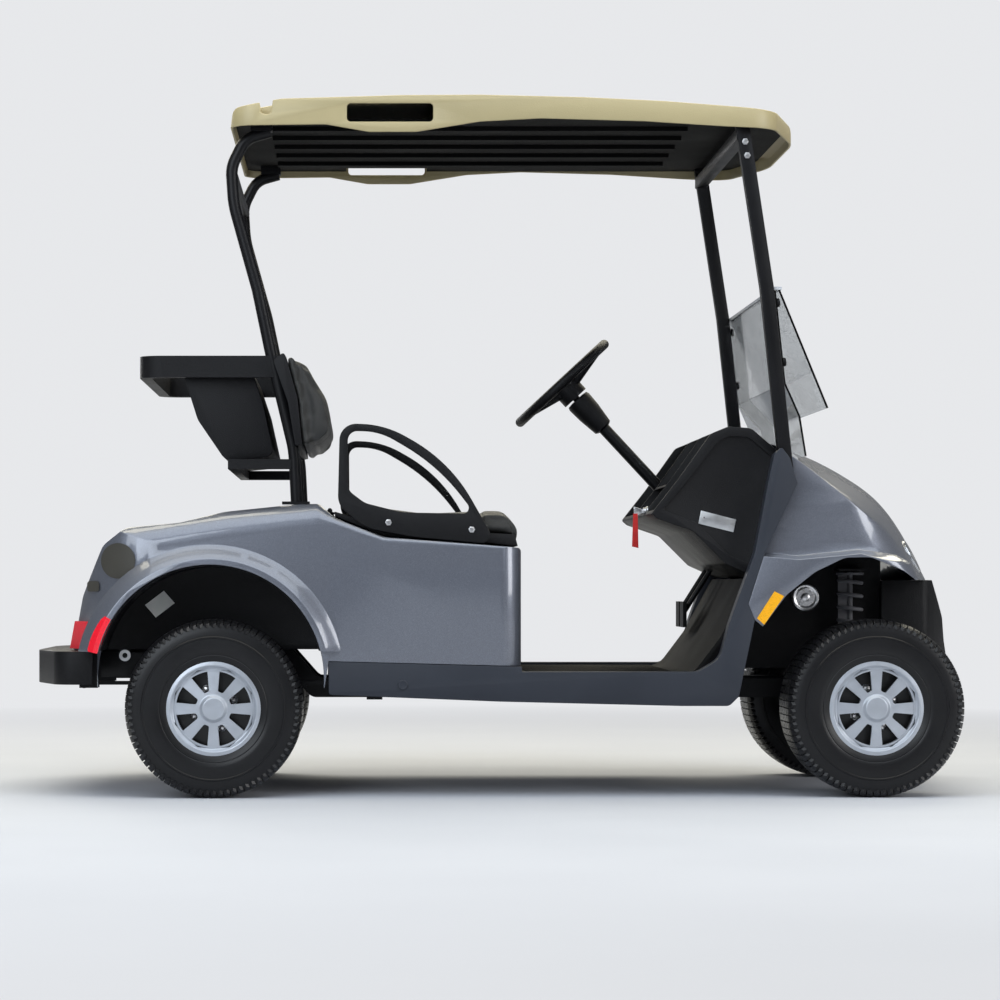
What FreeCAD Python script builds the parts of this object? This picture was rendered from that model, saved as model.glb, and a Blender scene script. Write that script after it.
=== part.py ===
import FreeCAD, Part
import math
import os

# Two-seat golf cart in millimetres. +X points to the front, +Y to the driver's left, +Z up.
# The origin is on the ground under the middle of the overall box.

# Overall places
GROUND = 0.0
REAR_AXLE_X = -730.0
WHEELBASE = 1670.0
FRONT_AXLE_X = REAR_AXLE_X + WHEELBASE
NOSE_X = 1200.0
TAIL_X = -1200.0
BODY_HALF_WIDTH = 548.0
PANEL_WALL = 5.0

# Wheels and tyres
TYRE_RADIUS = 225.0
TYRE_WIDTH = 216.0
TREAD_WIDTH = 176.0
SIDEWALL_RADIUS = 28.0
BEAD_RADIUS = 102.0
BEAD_WIDTH = 168.0
RIM_WALL = 4.0
FRONT_TRACK = 900.0
REAR_TRACK = 965.0
HUB_Z = GROUND + TYRE_RADIUS
COVER_RADIUS = 122.0
COVER_SPOKES = 8
COVER_HUB_RADIUS = 27.0
COVER_WINDOW_IN = 45.0
COVER_WINDOW_OUT = 101.0
HUB_RADIUS = 42.0
SPINDLE_RADIUS = 15.0
RUNNING_FIT = 0.05
SEAT_FIT = 0.3
WHEEL_DISC_Y = 34.0

# Steering and front suspension
KINGPIN_OFFSET = 132.0
KINGPIN_Y = FRONT_TRACK / 2 - KINGPIN_OFFSET
KINGPIN_RADIUS = 11.0
KNUCKLE_RADIUS = 20.0
KNUCKLE_HALF_HEIGHT = 44.0
STEER_ARM = 110.0
ROD_RADIUS = 8.0

# Cabin
SILL_TOP_Z = 317.0
FLOOR_Z = 300.0
FLOOR_WALL = 10.0
TRIM_INNER_Y = 492.0
SEAT_BOX_FRONT_X = 46.0
SEAT_HALF_WIDTH = 500.0
SEAT_GAP = 2.0
STRUT_Y = 455.0
STRUT_WIDTH = 30.0
POST_WIDTH = 34.0
ROOF_HALF_WIDTH = 560.0
GLASS_HALF_WIDTH = 520.0

# Rear body
ARCH_X = -740.0
ARCH_Z = 300.0
ARCH_RADIUS = 287.0
FLARE_RADIUS = 340.0
FLARE_OUT = 34.0
WELL_HALF_WIDTH = 340.0
WELL_FLOOR_Z = 470.0
WELL_FRONT_X = -600.0
WELL_WALL = 4.0
WELL_GAP = 0.3


def vec(x, y, z):
    return FreeCAD.Vector(x, y, z)


def on_side(y):
    """A point of the side view (x, z) at width y."""
    return lambda a, b: vec(a, y, b)


def on_plan(z):
    """A point of the plan view (x, y) at height z."""
    return lambda a, b: vec(a, b, z)


def on_front(x):
    """A point of the front view (y, z) at length x."""
    return lambda a, b: vec(x, a, b)


def corner_cut(before, at, after, radius):
    """Start, middle and end of the arc of this radius at a corner."""
    to_before = (before - at).normalize()
    to_after = (after - at).normalize()
    half = to_before.getAngle(to_after) / 2
    run = radius / math.tan(half)
    middle = (to_before + to_after).normalize()
    reach = radius / math.sin(half) - radius
    return at + to_before * run, at + middle * reach, at + to_after * run


def path(points, place, closed=True):
    """Wire through corners (a, b, radius): straight runs with an arc at each rounded corner."""
    spots = [place(a, b) for a, b, _ in points]
    count = len(spots)
    edges = []
    ends = []
    for i, (_, _, radius) in enumerate(points):
        last = not closed and i in (0, count - 1)
        if radius <= 0 or last:
            ends.append((spots[i], None, spots[i]))
        else:
            ends.append(corner_cut(spots[i - 1], spots[i], spots[(i + 1) % count], radius))
    for i, (start, middle, end) in enumerate(ends):
        if middle is not None:
            edges.append(Part.Arc(start, middle, end).toShape())
        follows = i + 1 < count or closed
        if follows:
            nxt = ends[(i + 1) % count][0]
            if (nxt - end).Length > 0.01:
                edges.append(Part.makeLine(end, nxt))
    return Part.Wire(edges)


def side_prism(points, y0, y1):
    return Part.Face(path(points, on_side(y0))).extrude(vec(0, y1 - y0, 0))


def plan_prism(points, z0, z1):
    return Part.Face(path(points, on_plan(z0))).extrude(vec(0, 0, z1 - z0))


def front_prism(points, x0, x1):
    return Part.Face(path(points, on_front(x0))).extrude(vec(x1 - x0, 0, 0))


def inset_prism(points, place, inset, run):
    """Prism of an outline drawn in by the panel's wall."""
    face = Part.Face(path(points, place))
    if inset:
        face = face.makeOffset2D(-inset)
    return face.extrude(run)


def block(x0, x1, y0, y1, z0, z1):
    return Part.makeBox(x1 - x0, y1 - y0, z1 - z0, vec(x0, y0, z0))


def rod(start, end, radius):
    axis = end - start
    return Part.makeCylinder(radius, axis.Length, start, axis)


def bent_bar(points, place, section):
    """A bar swept along rounded corners. section is drawn at the first point."""
    return path(points, place, closed=False).makePipeShell([section], True, True)


def fused(shapes):
    first, rest = shapes[0], shapes[1:]
    whole = first.multiFuse(rest) if rest else first
    return whole.removeSplitter()


def both_sides(shape):
    """The piece and its mirror image across the middle of the cart."""
    return [shape, shape.mirror(vec(0, 0, 0), vec(0, 1, 0))]


def mirrored(shape):
    return shape.mirror(vec(0, 0, 0), vec(0, 1, 0))


nodes = {}


# Tyres: one moulded ring each, bead on the rim, tread across the top
def tyre(centre_y, axle_x):
    half = TYRE_WIDTH / 2
    tread = TREAD_WIDTH / 2
    bead = BEAD_WIDTH / 2
    bulge_r = (TYRE_RADIUS + BEAD_RADIUS) / 2
    section = [
        (-bead, BEAD_RADIUS, 0),
        (-bead - 4, BEAD_RADIUS + 16, 8),
        (-half, bulge_r, 45),
        (-tread - 6, TYRE_RADIUS, SIDEWALL_RADIUS),
        (tread + 6, TYRE_RADIUS, SIDEWALL_RADIUS),
        (half, bulge_r, 45),
        (bead + 4, BEAD_RADIUS + 16, 8),
        (bead, BEAD_RADIUS, 0),
    ]
    face = Part.Face(path(section, lambda a, b: vec(0, a, b)))
    ring = face.revolve(vec(0, 0, 0), vec(0, 1, 0), 360)
    ring.translate(vec(axle_x, centre_y, HUB_Z))
    return ring


# Wheels: pressed rim with a hub, and the silver cover with its windows, on the outer face
def wheel(side):
    half = BEAD_WIDTH / 2
    inner = BEAD_RADIUS - 0.3
    rim_face = [
        (-half - 2, inner - RIM_WALL, 0),
        (-half - 2, inner, 0),
        (half + 2, inner, 0),
        (half + 2, inner - RIM_WALL, 0),
        (WHEEL_DISC_Y + 4, inner - RIM_WALL, 0),
        (WHEEL_DISC_Y + 4, SPINDLE_RADIUS + RUNNING_FIT, 0),
        (WHEEL_DISC_Y - 46, SPINDLE_RADIUS + RUNNING_FIT, 0),
        (WHEEL_DISC_Y - 46, HUB_RADIUS, 0),
        (WHEEL_DISC_Y - 4, HUB_RADIUS, 0),
        (WHEEL_DISC_Y - 4, inner - RIM_WALL, 0),
    ]
    rim = Part.Face(path(rim_face, lambda a, b: vec(0, a, b)))
    rim = rim.revolve(vec(0, 0, 0), vec(0, 1, 0), 360)
    front = half + 12
    cover_face = [
        (front + 8, 0, 0),
        (front + 8, COVER_HUB_RADIUS, 4),
        (front, COVER_HUB_RADIUS + 8, 6),
        (front - 6, COVER_WINDOW_OUT, 8),
        (front + 2, COVER_WINDOW_OUT + 8, 4),
        (front - 1, COVER_RADIUS, 0),
        (front - 5, COVER_RADIUS, 0),
        (front - 4, COVER_WINDOW_OUT + 6, 0),
        (front - 14, COVER_WINDOW_OUT - 4, 0),
        (front - 14, COVER_HUB_RADIUS, 0),
        (front - 14, 0, 0),
    ]
    cover = Part.Face(path(cover_face, lambda a, b: vec(0, a, b)))
    cover = cover.revolve(vec(0, 0, 0), vec(0, 1, 0), 360)
    half_open = math.radians(360.0 / COVER_SPOKES / 2 - 9)
    windows = []
    for k in range(COVER_SPOKES):
        middle = 2 * math.pi * (k + 0.5) / COVER_SPOKES
        corners = []
        for radius, angle, fillet in (
            (COVER_WINDOW_IN, middle - half_open * 0.62, 5),
            (COVER_WINDOW_OUT, middle - half_open, 7),
            (COVER_WINDOW_OUT + 3, middle, 0),
            (COVER_WINDOW_OUT, middle + half_open, 7),
            (COVER_WINDOW_IN, middle + half_open * 0.62, 5),
        ):
            corners.append((radius * math.sin(angle), radius * math.cos(angle), fillet))
        windows.append(side_prism(corners, 0, 140))
    cover = cover.cut(Part.makeCompound(windows))
    seat_ring = Part.makeCylinder(inner - RIM_WALL + 1, 24, vec(0, half - 16, 0), vec(0, 1, 0))
    seat_ring = seat_ring.cut(
        Part.makeCylinder(inner - RIM_WALL - 3, 24, vec(0, half - 16, 0), vec(0, 1, 0))
    )
    body = fused([rim, cover, seat_ring])
    if side < 0:
        body = mirrored(body)
    return body


WHEELS = (
    # name, axle x, side, track
    ("front_left", FRONT_AXLE_X, 1, FRONT_TRACK),
    ("front_right", FRONT_AXLE_X, -1, FRONT_TRACK),
    ("rear_left", REAR_AXLE_X, 1, REAR_TRACK),
    ("rear_right", REAR_AXLE_X, -1, REAR_TRACK),
)
for name, axle_x, side, track in WHEELS:
    centre_y = side * track / 2
    nodes["tyre_" + name] = tyre(centre_y, axle_x)
    nodes["wheel_" + name] = wheel(side).translated(vec(axle_x, centre_y, HUB_Z))


# Steering knuckles: kingpin boss, spindle in the wheel's hub and the arm to the tie rod
def knuckle(side):
    hub_y = side * FRONT_TRACK / 2
    pin_y = side * KINGPIN_Y
    boss = Part.makeCylinder(
        KNUCKLE_RADIUS, 2 * KNUCKLE_HALF_HEIGHT, vec(FRONT_AXLE_X, pin_y, HUB_Z - KNUCKLE_HALF_HEIGHT)
    )
    bore = Part.makeCylinder(
        KINGPIN_RADIUS + RUNNING_FIT, 400, vec(FRONT_AXLE_X, pin_y, HUB_Z - 200)
    )
    spindle = rod(
        vec(FRONT_AXLE_X, pin_y + side * 6, HUB_Z),
        vec(FRONT_AXLE_X, hub_y + side * (WHEEL_DISC_Y + 12), HUB_Z),
        SPINDLE_RADIUS,
    )
    flange = rod(
        vec(FRONT_AXLE_X, pin_y + side * 14, HUB_Z),
        vec(FRONT_AXLE_X, hub_y + side * (WHEEL_DISC_Y - 52), HUB_Z),
        30,
    )
    arm_z = HUB_Z - KNUCKLE_HALF_HEIGHT
    arm = block(FRONT_AXLE_X - STEER_ARM, FRONT_AXLE_X, pin_y - 13, pin_y + 13, arm_z, arm_z + 16)
    eye = Part.makeCylinder(17, 16, vec(FRONT_AXLE_X - STEER_ARM, pin_y, arm_z))
    return fused([boss, spindle, flange, arm, eye]).cut(bore)


nodes["knuckle_left"] = knuckle(1)
nodes["knuckle_right"] = knuckle(-1)

# Tie rod: the rack bar that joins both steering arms, just under their eyes
rod_x = FRONT_AXLE_X - STEER_ARM
rod_z = HUB_Z - KNUCKLE_HALF_HEIGHT - ROD_RADIUS - 2
tie = rod(vec(rod_x, -KINGPIN_Y, rod_z), vec(rod_x, KINGPIN_Y, rod_z), ROD_RADIUS)
balls = [
    Part.makeCylinder(14, 12 + ROD_RADIUS + 2 - SEAT_FIT, vec(rod_x, s * KINGPIN_Y, rod_z - 12))
    for s in (-1, 1)
]
nodes["tie_rod"] = fused([tie] + balls)

# Front suspension: kingpins, forked lower and upper arms and the cross beam
BEAM_HALF_WIDTH = 150.0
BEAM_REAR_X = FRONT_AXLE_X - 80
BEAM_FRONT_X = FRONT_AXLE_X + 90
arm_parts = []
for side in (-1, 1):
    pin_y = side * KINGPIN_Y
    arm_parts.append(
        Part.makeCylinder(
            KINGPIN_RADIUS,
            2 * KNUCKLE_HALF_HEIGHT + 60,
            vec(FRONT_AXLE_X, pin_y, HUB_Z - KNUCKLE_HALF_HEIGHT - 30),
        )
    )
    root_y = side * (BEAM_HALF_WIDTH - 10)
    lower = [
        (FRONT_AXLE_X - 30, pin_y + side * 14, 10), (FRONT_AXLE_X + 30, pin_y + side * 14, 10),
        (FRONT_AXLE_X + 70, root_y, 0), (FRONT_AXLE_X - 78, root_y, 0),
    ]
    upper = [
        (FRONT_AXLE_X - 30, pin_y + side * 14, 10), (FRONT_AXLE_X + 30, pin_y + side * 14, 10),
        (FRONT_AXLE_X + 70, root_y, 0), (FRONT_AXLE_X + 44, root_y, 0),
        (FRONT_AXLE_X + 6, pin_y - side * 48, 8), (FRONT_AXLE_X - 46, pin_y - side * 48, 8),
        (FRONT_AXLE_X - 48, root_y, 0), (FRONT_AXLE_X - 78, root_y, 0), (FRONT_AXLE_X - 66, pin_y - side * 50, 20),
    ]
    low_z = HUB_Z - KNUCKLE_HALF_HEIGHT - 30
    high_z = HUB_Z + KNUCKLE_HALF_HEIGHT + 8
    arm_parts.append(plan_prism(lower, low_z, low_z + 22))
    arm_parts.append(plan_prism(upper, high_z, high_z + 22))
beam = block(BEAM_REAR_X, BEAM_FRONT_X, -BEAM_HALF_WIDTH, BEAM_HALF_WIDTH, HUB_Z - 80, HUB_Z + 90)
beam = beam.cut(
    block(BEAM_REAR_X + 8, BEAM_FRONT_X - 8, -BEAM_HALF_WIDTH, BEAM_HALF_WIDTH, HUB_Z - 72, HUB_Z + 82)
)
nodes["front_suspension"] = fused(arm_parts + [beam])

# Front coil-over shocks: damper tube, rod and coil between the lower arm and the tower
SHOCK_Y = KINGPIN_Y - 86
SHOCK_LOW_Z = HUB_Z - KNUCKLE_HALF_HEIGHT - 8
SHOCK_TOP_Z = 572.0
COIL_RADIUS = 30.0
COIL_WIRE = 5.0
COIL_TURNS = 7


def coil_over(side):
    x, y = FRONT_AXLE_X - 22, side * SHOCK_Y
    low = vec(x, y, SHOCK_LOW_Z)
    damper = Part.makeCylinder(19, 190, vec(x, y, SHOCK_LOW_Z))
    piston = Part.makeCylinder(7, SHOCK_TOP_Z - SHOCK_LOW_Z, low)
    seat_low = Part.makeCylinder(36, 6, vec(x, y, SHOCK_LOW_Z + 140))
    seat_top = Part.makeCylinder(36, 6, vec(x, y, SHOCK_TOP_Z - 10))
    pitch = (SHOCK_TOP_Z - 10 - SHOCK_LOW_Z - 146) / COIL_TURNS
    rings = []
    for k in range(COIL_TURNS):
        z = SHOCK_LOW_Z + 146 + pitch * (k + 0.5)
        rings.append(Part.makeTorus(COIL_RADIUS, COIL_WIRE, vec(x, y, z), vec(0.12, 0, 1)))
    web = block(x - COIL_RADIUS - 1, x - 5, y - 2, y + 2, SHOCK_LOW_Z + 146, SHOCK_TOP_Z - 10)
    return fused([damper, piston, seat_low, seat_top, web] + rings)


nodes["front_shocks"] = Part.makeCompound([coil_over(-1), coil_over(1)])

# Chassis: two box rails, raised over the rear axle, with cross members and the shock towers
RAIL_Y0 = 108.0
RAIL_Y1 = 150.0
RAIL_TOP = FLOOR_Z - FLOOR_WALL
RAIL_DEPTH = 50.0
KICK_TOP = 392.0
rail_outline = [
    (-1085, KICK_TOP, 0),
    (-1085, KICK_TOP - RAIL_DEPTH, 0),
    (-580, KICK_TOP - RAIL_DEPTH, 30),
    (-490, RAIL_TOP - RAIL_DEPTH, 30),
    (BEAM_REAR_X, RAIL_TOP - RAIL_DEPTH, 0),
    (BEAM_REAR_X, RAIL_TOP, 0),
    (-470, RAIL_TOP, 30),
    (-560, KICK_TOP, 30),
]
SPRING_Y = 305.0
SPRING_HALF_WIDTH = 22.0
SPRING_REACH = 345.0
EYE_RADIUS = 13.0
EYE_PIN = 6.0
EYE_Z = HUB_Z + 57
frame_parts = []
for side in (-1, 1):
    y0, y1 = sorted((side * RAIL_Y0, side * RAIL_Y1))
    frame_parts.append(side_prism(rail_outline, y0, y1))
    frame_parts.append(block(BEAM_FRONT_X, 1110, y0, y1, HUB_Z + 25, HUB_Z + 65))
CROSS_MEMBERS = (
    # x, half width, z, half size
    (-1055, 300, KICK_TOP - 25, 14),
    (-970, 333, 362, 14),
    (-325, 480, RAIL_TOP - 25, 20),
    (20, 480, RAIL_TOP - 25, 20),
    (480, 480, RAIL_TOP - 25, 20),
)
for x, half, z, size in CROSS_MEMBERS:
    frame_parts.append(block(x - size, x + size, -half, half, z - size, z + size))
eye_xs = (REAR_AXLE_X - SPRING_REACH, REAR_AXLE_X + SPRING_REACH)
for side in (-1, 1):
    mid = side * SPRING_Y
    for off in (-1, 1):
        y0, y1 = sorted((mid + off * (SPRING_HALF_WIDTH + 1), mid + off * (SPRING_HALF_WIDTH + 6)))
        frame_parts.append(block(eye_xs[0] - 12, eye_xs[0] + 36, y0, y1, EYE_Z - 12, KICK_TOP - 14))
        frame_parts.append(block(eye_xs[1] - 12, -340, y0, y1, EYE_Z - 12, EYE_Z + 8))
    for x in eye_xs:
        frame_parts.append(
            rod(vec(x, mid - SPRING_HALF_WIDTH - 6, EYE_Z), vec(x, mid + SPRING_HALF_WIDTH + 6, EYE_Z), EYE_PIN)
        )
tower_x = FRONT_AXLE_X - 22
for side in (-1, 1):
    y0, y1 = sorted((side * 120, side * 150))
    frame_parts.append(block(tower_x - 30, tower_x + 30, y0, y1, HUB_Z + 90, SHOCK_TOP_Z + 6))
    y0, y1 = sorted((side * 120, side * (SHOCK_Y + 36)))
    frame_parts.append(block(tower_x - 34, tower_x + 34, y0, y1, SHOCK_TOP_Z, SHOCK_TOP_Z + 6))
frame_parts.append(block(tower_x - 20, tower_x + 20, -120, 120, HUB_Z + 110, HUB_Z + 140))
nodes["chassis_frame"] = fused(frame_parts)

# Rear axle: final drive, motor, tubes and the spindles in the wheel hubs
AXLE_TUBE_RADIUS = 32.0
hub_face = REAR_TRACK / 2 + WHEEL_DISC_Y - 52
spindle_end = REAR_TRACK / 2 + WHEEL_DISC_Y + 12
axle_parts = [
    rod(vec(REAR_AXLE_X, -hub_face, HUB_Z), vec(REAR_AXLE_X, hub_face, HUB_Z), AXLE_TUBE_RADIUS),
    rod(vec(REAR_AXLE_X, -spindle_end, HUB_Z), vec(REAR_AXLE_X, spindle_end, HUB_Z), SPINDLE_RADIUS),
    rod(vec(REAR_AXLE_X, -70, HUB_Z), vec(REAR_AXLE_X, 45, HUB_Z), 92),
    rod(vec(REAR_AXLE_X + 140, -60, HUB_Z + 6), vec(REAR_AXLE_X + 140, 35, HUB_Z + 6), 58),
    block(REAR_AXLE_X, REAR_AXLE_X + 140, -60, 35, HUB_Z - 45, HUB_Z + 55),
    rod(vec(REAR_AXLE_X + 140, 35, HUB_Z + 6), vec(REAR_AXLE_X + 140, 275, HUB_Z + 6), 78),
]
nodes["rear_axle"] = fused(axle_parts)

# Rear suspension: leaf packs over the axle, their shackles and two dampers
def leaf_pack(side):
    y0 = side * SPRING_Y - SPRING_HALF_WIDTH
    y1 = side * SPRING_Y + SPRING_HALF_WIDTH
    bottom = HUB_Z + AXLE_TUBE_RADIUS
    leaves = []
    for reach, drop in ((SPRING_REACH, 0), (230, 9), (130, 18)):
        top = EYE_Z + 5 - drop
        leaves.append(block(REAR_AXLE_X - reach, REAR_AXLE_X + reach, y0, y1, top - 9, top))
    for x in eye_xs:
        leaves.append(rod(vec(x, y0, EYE_Z), vec(x, y1, EYE_Z), EYE_RADIUS))
    leaves.append(block(REAR_AXLE_X - 40, REAR_AXLE_X + 40, y0, y1, bottom, EYE_Z - 20))
    pack = fused(leaves)
    for x in eye_xs:
        pack = pack.cut(rod(vec(x, y0 - 1, EYE_Z), vec(x, y1 + 1, EYE_Z), EYE_PIN + RUNNING_FIT))
    return pack


nodes["rear_suspension"] = Part.makeCompound([leaf_pack(-1), leaf_pack(1)])

# Battery: one plain block on the floor under the seat
nodes["battery_pack"] = block(-335, 25, -290, 290, FLOOR_Z, FLOOR_Z + 240)

# Floor pan: floor, and on each side the rocker that rises into the A-pillar trim
TRIM_OUTLINE = [
    (-441, 259, 8), (-9, 242, 0), (449, 231, 0), (569, 231, 20), (593, 255, 10), (633, 448, 0),
    (617, 488, 8), (658, 617, 60), (741, 793, 0), (721, 857, 8), (700, 884, 6),
    (682, 866, 6), (666, 793, 60), (633, 617, 80), (569, 440, 80), (545, 351, 50), (489, SILL_TOP_Z, 40),
    (SEAT_BOX_FRONT_X, SILL_TOP_Z, 0), (SEAT_BOX_FRONT_X, 330, 0), (-441, 343, 0),
]
trim = side_prism(TRIM_OUTLINE, TRIM_INNER_Y, BODY_HALF_WIDTH)
floor = block(-345, 520, -TRIM_INNER_Y, TRIM_INNER_Y, RAIL_TOP, FLOOR_Z)
LINER_Z = 1712.0
post_foot = [(709, 884), (691, 1045), (666, 1287), (623, 1569), (602, LINER_Z - 0.3)]
lean = (post_foot[1][0] - post_foot[0][0]) / (post_foot[1][1] - post_foot[0][1])
foot_x = post_foot[0][0] - 60 * lean
half_post = POST_WIDTH / 2
POST_SIDE_Y = (498.0, 532.0)
post_points = [(foot_x, 824)] + post_foot
front_edge = [(x + half_post, z, 0) for x, z in post_points]
rear_edge = [(x - half_post, z, 0) for x, z in reversed(post_points)]
post = side_prism(front_edge + rear_edge, *POST_SIDE_Y)
socket_outline = [(x + half_post + 0.3, z, 0) for x, z in post_points[:3]]
socket_outline += [(x - half_post - 0.3, z, 0) for x, z in reversed(post_points[:3])]
socket = side_prism(socket_outline, POST_SIDE_Y[0] - 0.3, POST_SIDE_Y[1] + 0.3)
trim = trim.cut(socket)
nodes["floor_pan"] = fused(both_sides(trim) + [floor])

# Floor mat: ribbed rubber on the floor that runs up the toe board
MAT_HALF_WIDTH = TRIM_INNER_Y - SEAT_FIT
MAT_WALL = 8.0
mat_outline = [
    (60, FLOOR_Z, 0), (484, FLOOR_Z, 60), (560, 400, 60), (640, 548, 0),
    (640 - MAT_WALL, 552, 0), (552, 404, 52), (480, FLOOR_Z + MAT_WALL, 60), (60, FLOOR_Z + MAT_WALL, 0),
]
nodes["floor_mat"] = side_prism(mat_outline, -MAT_HALF_WIDTH, MAT_HALF_WIDTH)

# Front body: one moulded cowl, a crowned hood that falls to flared fenders over the front wheels
COWL_REAR_X = 560.0
COWL_LOW_Z = 380.0
COWL_SKIRT_Z = 549.0
HOOD_HALF_WIDTH = BODY_HALF_WIDTH - 36.0
HOOD_PLAN = (
    # z, half width, corner x, corner y, corner radius, nose x, nose half width
    (380, HOOD_HALF_WIDTH, 1100, HOOD_HALF_WIDTH - 12, 90, 1200, 160),
    (560, HOOD_HALF_WIDTH, 1046, HOOD_HALF_WIDTH - 12, 100, 1165, 160),
    (650, HOOD_HALF_WIDTH - 2, 985, HOOD_HALF_WIDTH - 32, 110, 1120, 150),
    (760, HOOD_HALF_WIDTH - 6, 940, HOOD_HALF_WIDTH - 42, 110, 1070, 150),
    (960, HOOD_HALF_WIDTH - 12, 860, HOOD_HALF_WIDTH - 57, 110, 1010, 150),
)
CROWN_EDGE_Y = BODY_HALF_WIDTH + 12.0
HOOD_CROWN = (
    # x, z on the middle line, z at the crown's edge
    (540, 935, 900), (733, 905, 852), (838, 870, 754), (937, 817, 652), (1060, 690, 455), (1100, 614, 370),
    (1150, 535, 270),
)
FENDER_PLAN = (
    # z, half width, corner x, corner y, corner radius, nose x, nose half width
    (380, BODY_HALF_WIDTH, 1086, BODY_HALF_WIDTH, 90, 1150, 160),
    (560, BODY_HALF_WIDTH, 1044, BODY_HALF_WIDTH, 90, 1100, 160),
    (700, BODY_HALF_WIDTH, 964, BODY_HALF_WIDTH, 90, 1010, 160),
)
FENDER_SHOULDER = (
    # x, z at the hood's foot, z at the lip
    (540, 628, 616), (745, 612, 598), (900, 626, 613), (1000, 612, 585), (1200, 500, 440),
)
SHOULDER_FOOT_Y = BODY_HALF_WIDTH - 58.0


def plan_loft(rows, inset):
    """Solid through plan outlines, each drawn in by the panel's wall."""
    wires = []
    for z, half, corner_x, corner_y, radius, nose_x, nose_half in rows:
        outline = [
            (COWL_REAR_X, -half, 0), (corner_x, -corner_y, radius), (nose_x, -nose_half, 200),
            (nose_x, nose_half, 200), (corner_x, corner_y, radius), (COWL_REAR_X, half, 0),
        ]
        wires.append(Part.Face(path(outline, on_plan(z))).makeOffset2D(-inset).OuterWire if inset
                     else path(outline, on_plan(z)))
    return Part.makeLoft(wires, True, False)


def crown_loft(inset):
    """Solid under the hood's crowned top, which is an arc across the cart at each length."""
    wires = []
    for x, middle_z, edge_z in HOOD_CROWN:
        left = vec(x, -CROWN_EDGE_Y, edge_z - inset)
        right = vec(x, CROWN_EDGE_Y, edge_z - inset)
        low_left = vec(x, -CROWN_EDGE_Y, 200)
        low_right = vec(x, CROWN_EDGE_Y, 200)
        top = Part.Arc(left, vec(x, 0, middle_z - inset), right).toShape()
        sides = [Part.makeLine(right, low_right), Part.makeLine(low_right, low_left), Part.makeLine(low_left, left)]
        wires.append(Part.Wire([top] + sides))
    return Part.makeLoft(wires, True, False)


def shoulder_loft(inset):
    """Solid under the fenders' tops, which fall outwards from the hood's foot to the lip."""
    wires = []
    for x, foot_z, lip_z in FENDER_SHOULDER:
        corners = [
            (-CROWN_EDGE_Y, 200, 0), (-CROWN_EDGE_Y, lip_z - inset, 0), (-SHOULDER_FOOT_Y, foot_z - inset, 0),
            (SHOULDER_FOOT_Y, foot_z - inset, 0), (CROWN_EDGE_Y, lip_z - inset, 0), (CROWN_EDGE_Y, 200, 0),
        ]
        wires.append(path(corners, on_front(x)))
    return Part.makeLoft(wires, True, True)


def cowl_mass(inset):
    hood = plan_loft(HOOD_PLAN, inset).common(crown_loft(inset))
    fenders = plan_loft(FENDER_PLAN, inset).common(shoulder_loft(inset))
    return hood.fuse(fenders)


cowl_shell = cowl_mass(0).cut(cowl_mass(PANEL_WALL))
cowl_shell = cowl_shell.cut(block(500, COWL_REAR_X + PANEL_WALL, -900, 900, COWL_LOW_Z, 1000))
arch_low = [
    (500, 300, 0), (653, 431, 0), (713, 511, 60), (784, 568, 80), (860, 605, 60), (925, 606, 60),
    (1010, 572, 60), (1044, COWL_SKIRT_Z, 0), (1300, COWL_SKIRT_Z, 0), (1300, 300, 0),
]
rear_trim = [
    (500, 300, 0), (653, 431, 0), (633, 448, 0), (617, 488, 8), (658, 617, 60), (741, 793, 0),
    (721, 857, 0), (733, 872, 0), (700, 900, 0), (700, 990, 0), (500, 990, 0),
]
cowl_shell = cowl_shell.cut(side_prism(arch_low, -900, 900))
cowl_shell = cowl_shell.cut(side_prism(rear_trim, -900, 900)).cut(Part.makeCompound(both_sides(socket)))
nodes["cowl"] = cowl_shell

# Front bumper: the black moulded lower nose between the wheels, bolted to the rails' ends
BUMPER_HALF_WIDTH = 232.0
BUMPER_LOW_Z = 236.0
BUMPER_REAR_X = 1000.0
RAIL_END_X = 1110.0
bumper_plan = [
    (BUMPER_REAR_X, -BUMPER_HALF_WIDTH, 0), (1118, -BUMPER_HALF_WIDTH, 25), (NOSE_X, -130, 250),
    (NOSE_X, 130, 250), (1118, BUMPER_HALF_WIDTH, 25), (BUMPER_REAR_X, BUMPER_HALF_WIDTH, 0),
]
bumper_side = [
    (BUMPER_REAR_X, BUMPER_LOW_Z, 0), (1182, BUMPER_LOW_Z, 20), (NOSE_X, 300, 40), (1178, 392, 40),
    (1172, 450, 60), (1136, COWL_SKIRT_Z - 0.3, 0), (BUMPER_REAR_X, COWL_SKIRT_Z - 0.3, 0),
]


def bumper_mass(inset):
    plan = inset_prism(bumper_plan, on_plan(BUMPER_LOW_Z), inset, vec(0, 0, 400))
    side = inset_prism(bumper_side, on_side(-300), inset, vec(0, 600, 0))
    return plan.common(side)


bumper_shell = bumper_mass(0).cut(bumper_mass(PANEL_WALL))
bumper_inside = BUMPER_HALF_WIDTH - PANEL_WALL
open_back = block(900, BEAM_FRONT_X + 6, -bumper_inside, bumper_inside, 200, 700)
open_top = block(900, 1120, -bumper_inside, bumper_inside, 500, 700)
bumper_shell = bumper_shell.cut(open_back).cut(open_top)
rail_pads = []
for side in (-1, 1):
    y0, y1 = sorted((side * 108, side * 150))
    rail_pads.append(block(RAIL_END_X + 0.3, 1215, y0, y1, HUB_Z + 25, HUB_Z + 65).common(bumper_mass(0)))
nodes["front_bumper"] = fused([bumper_shell] + rail_pads)

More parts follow.
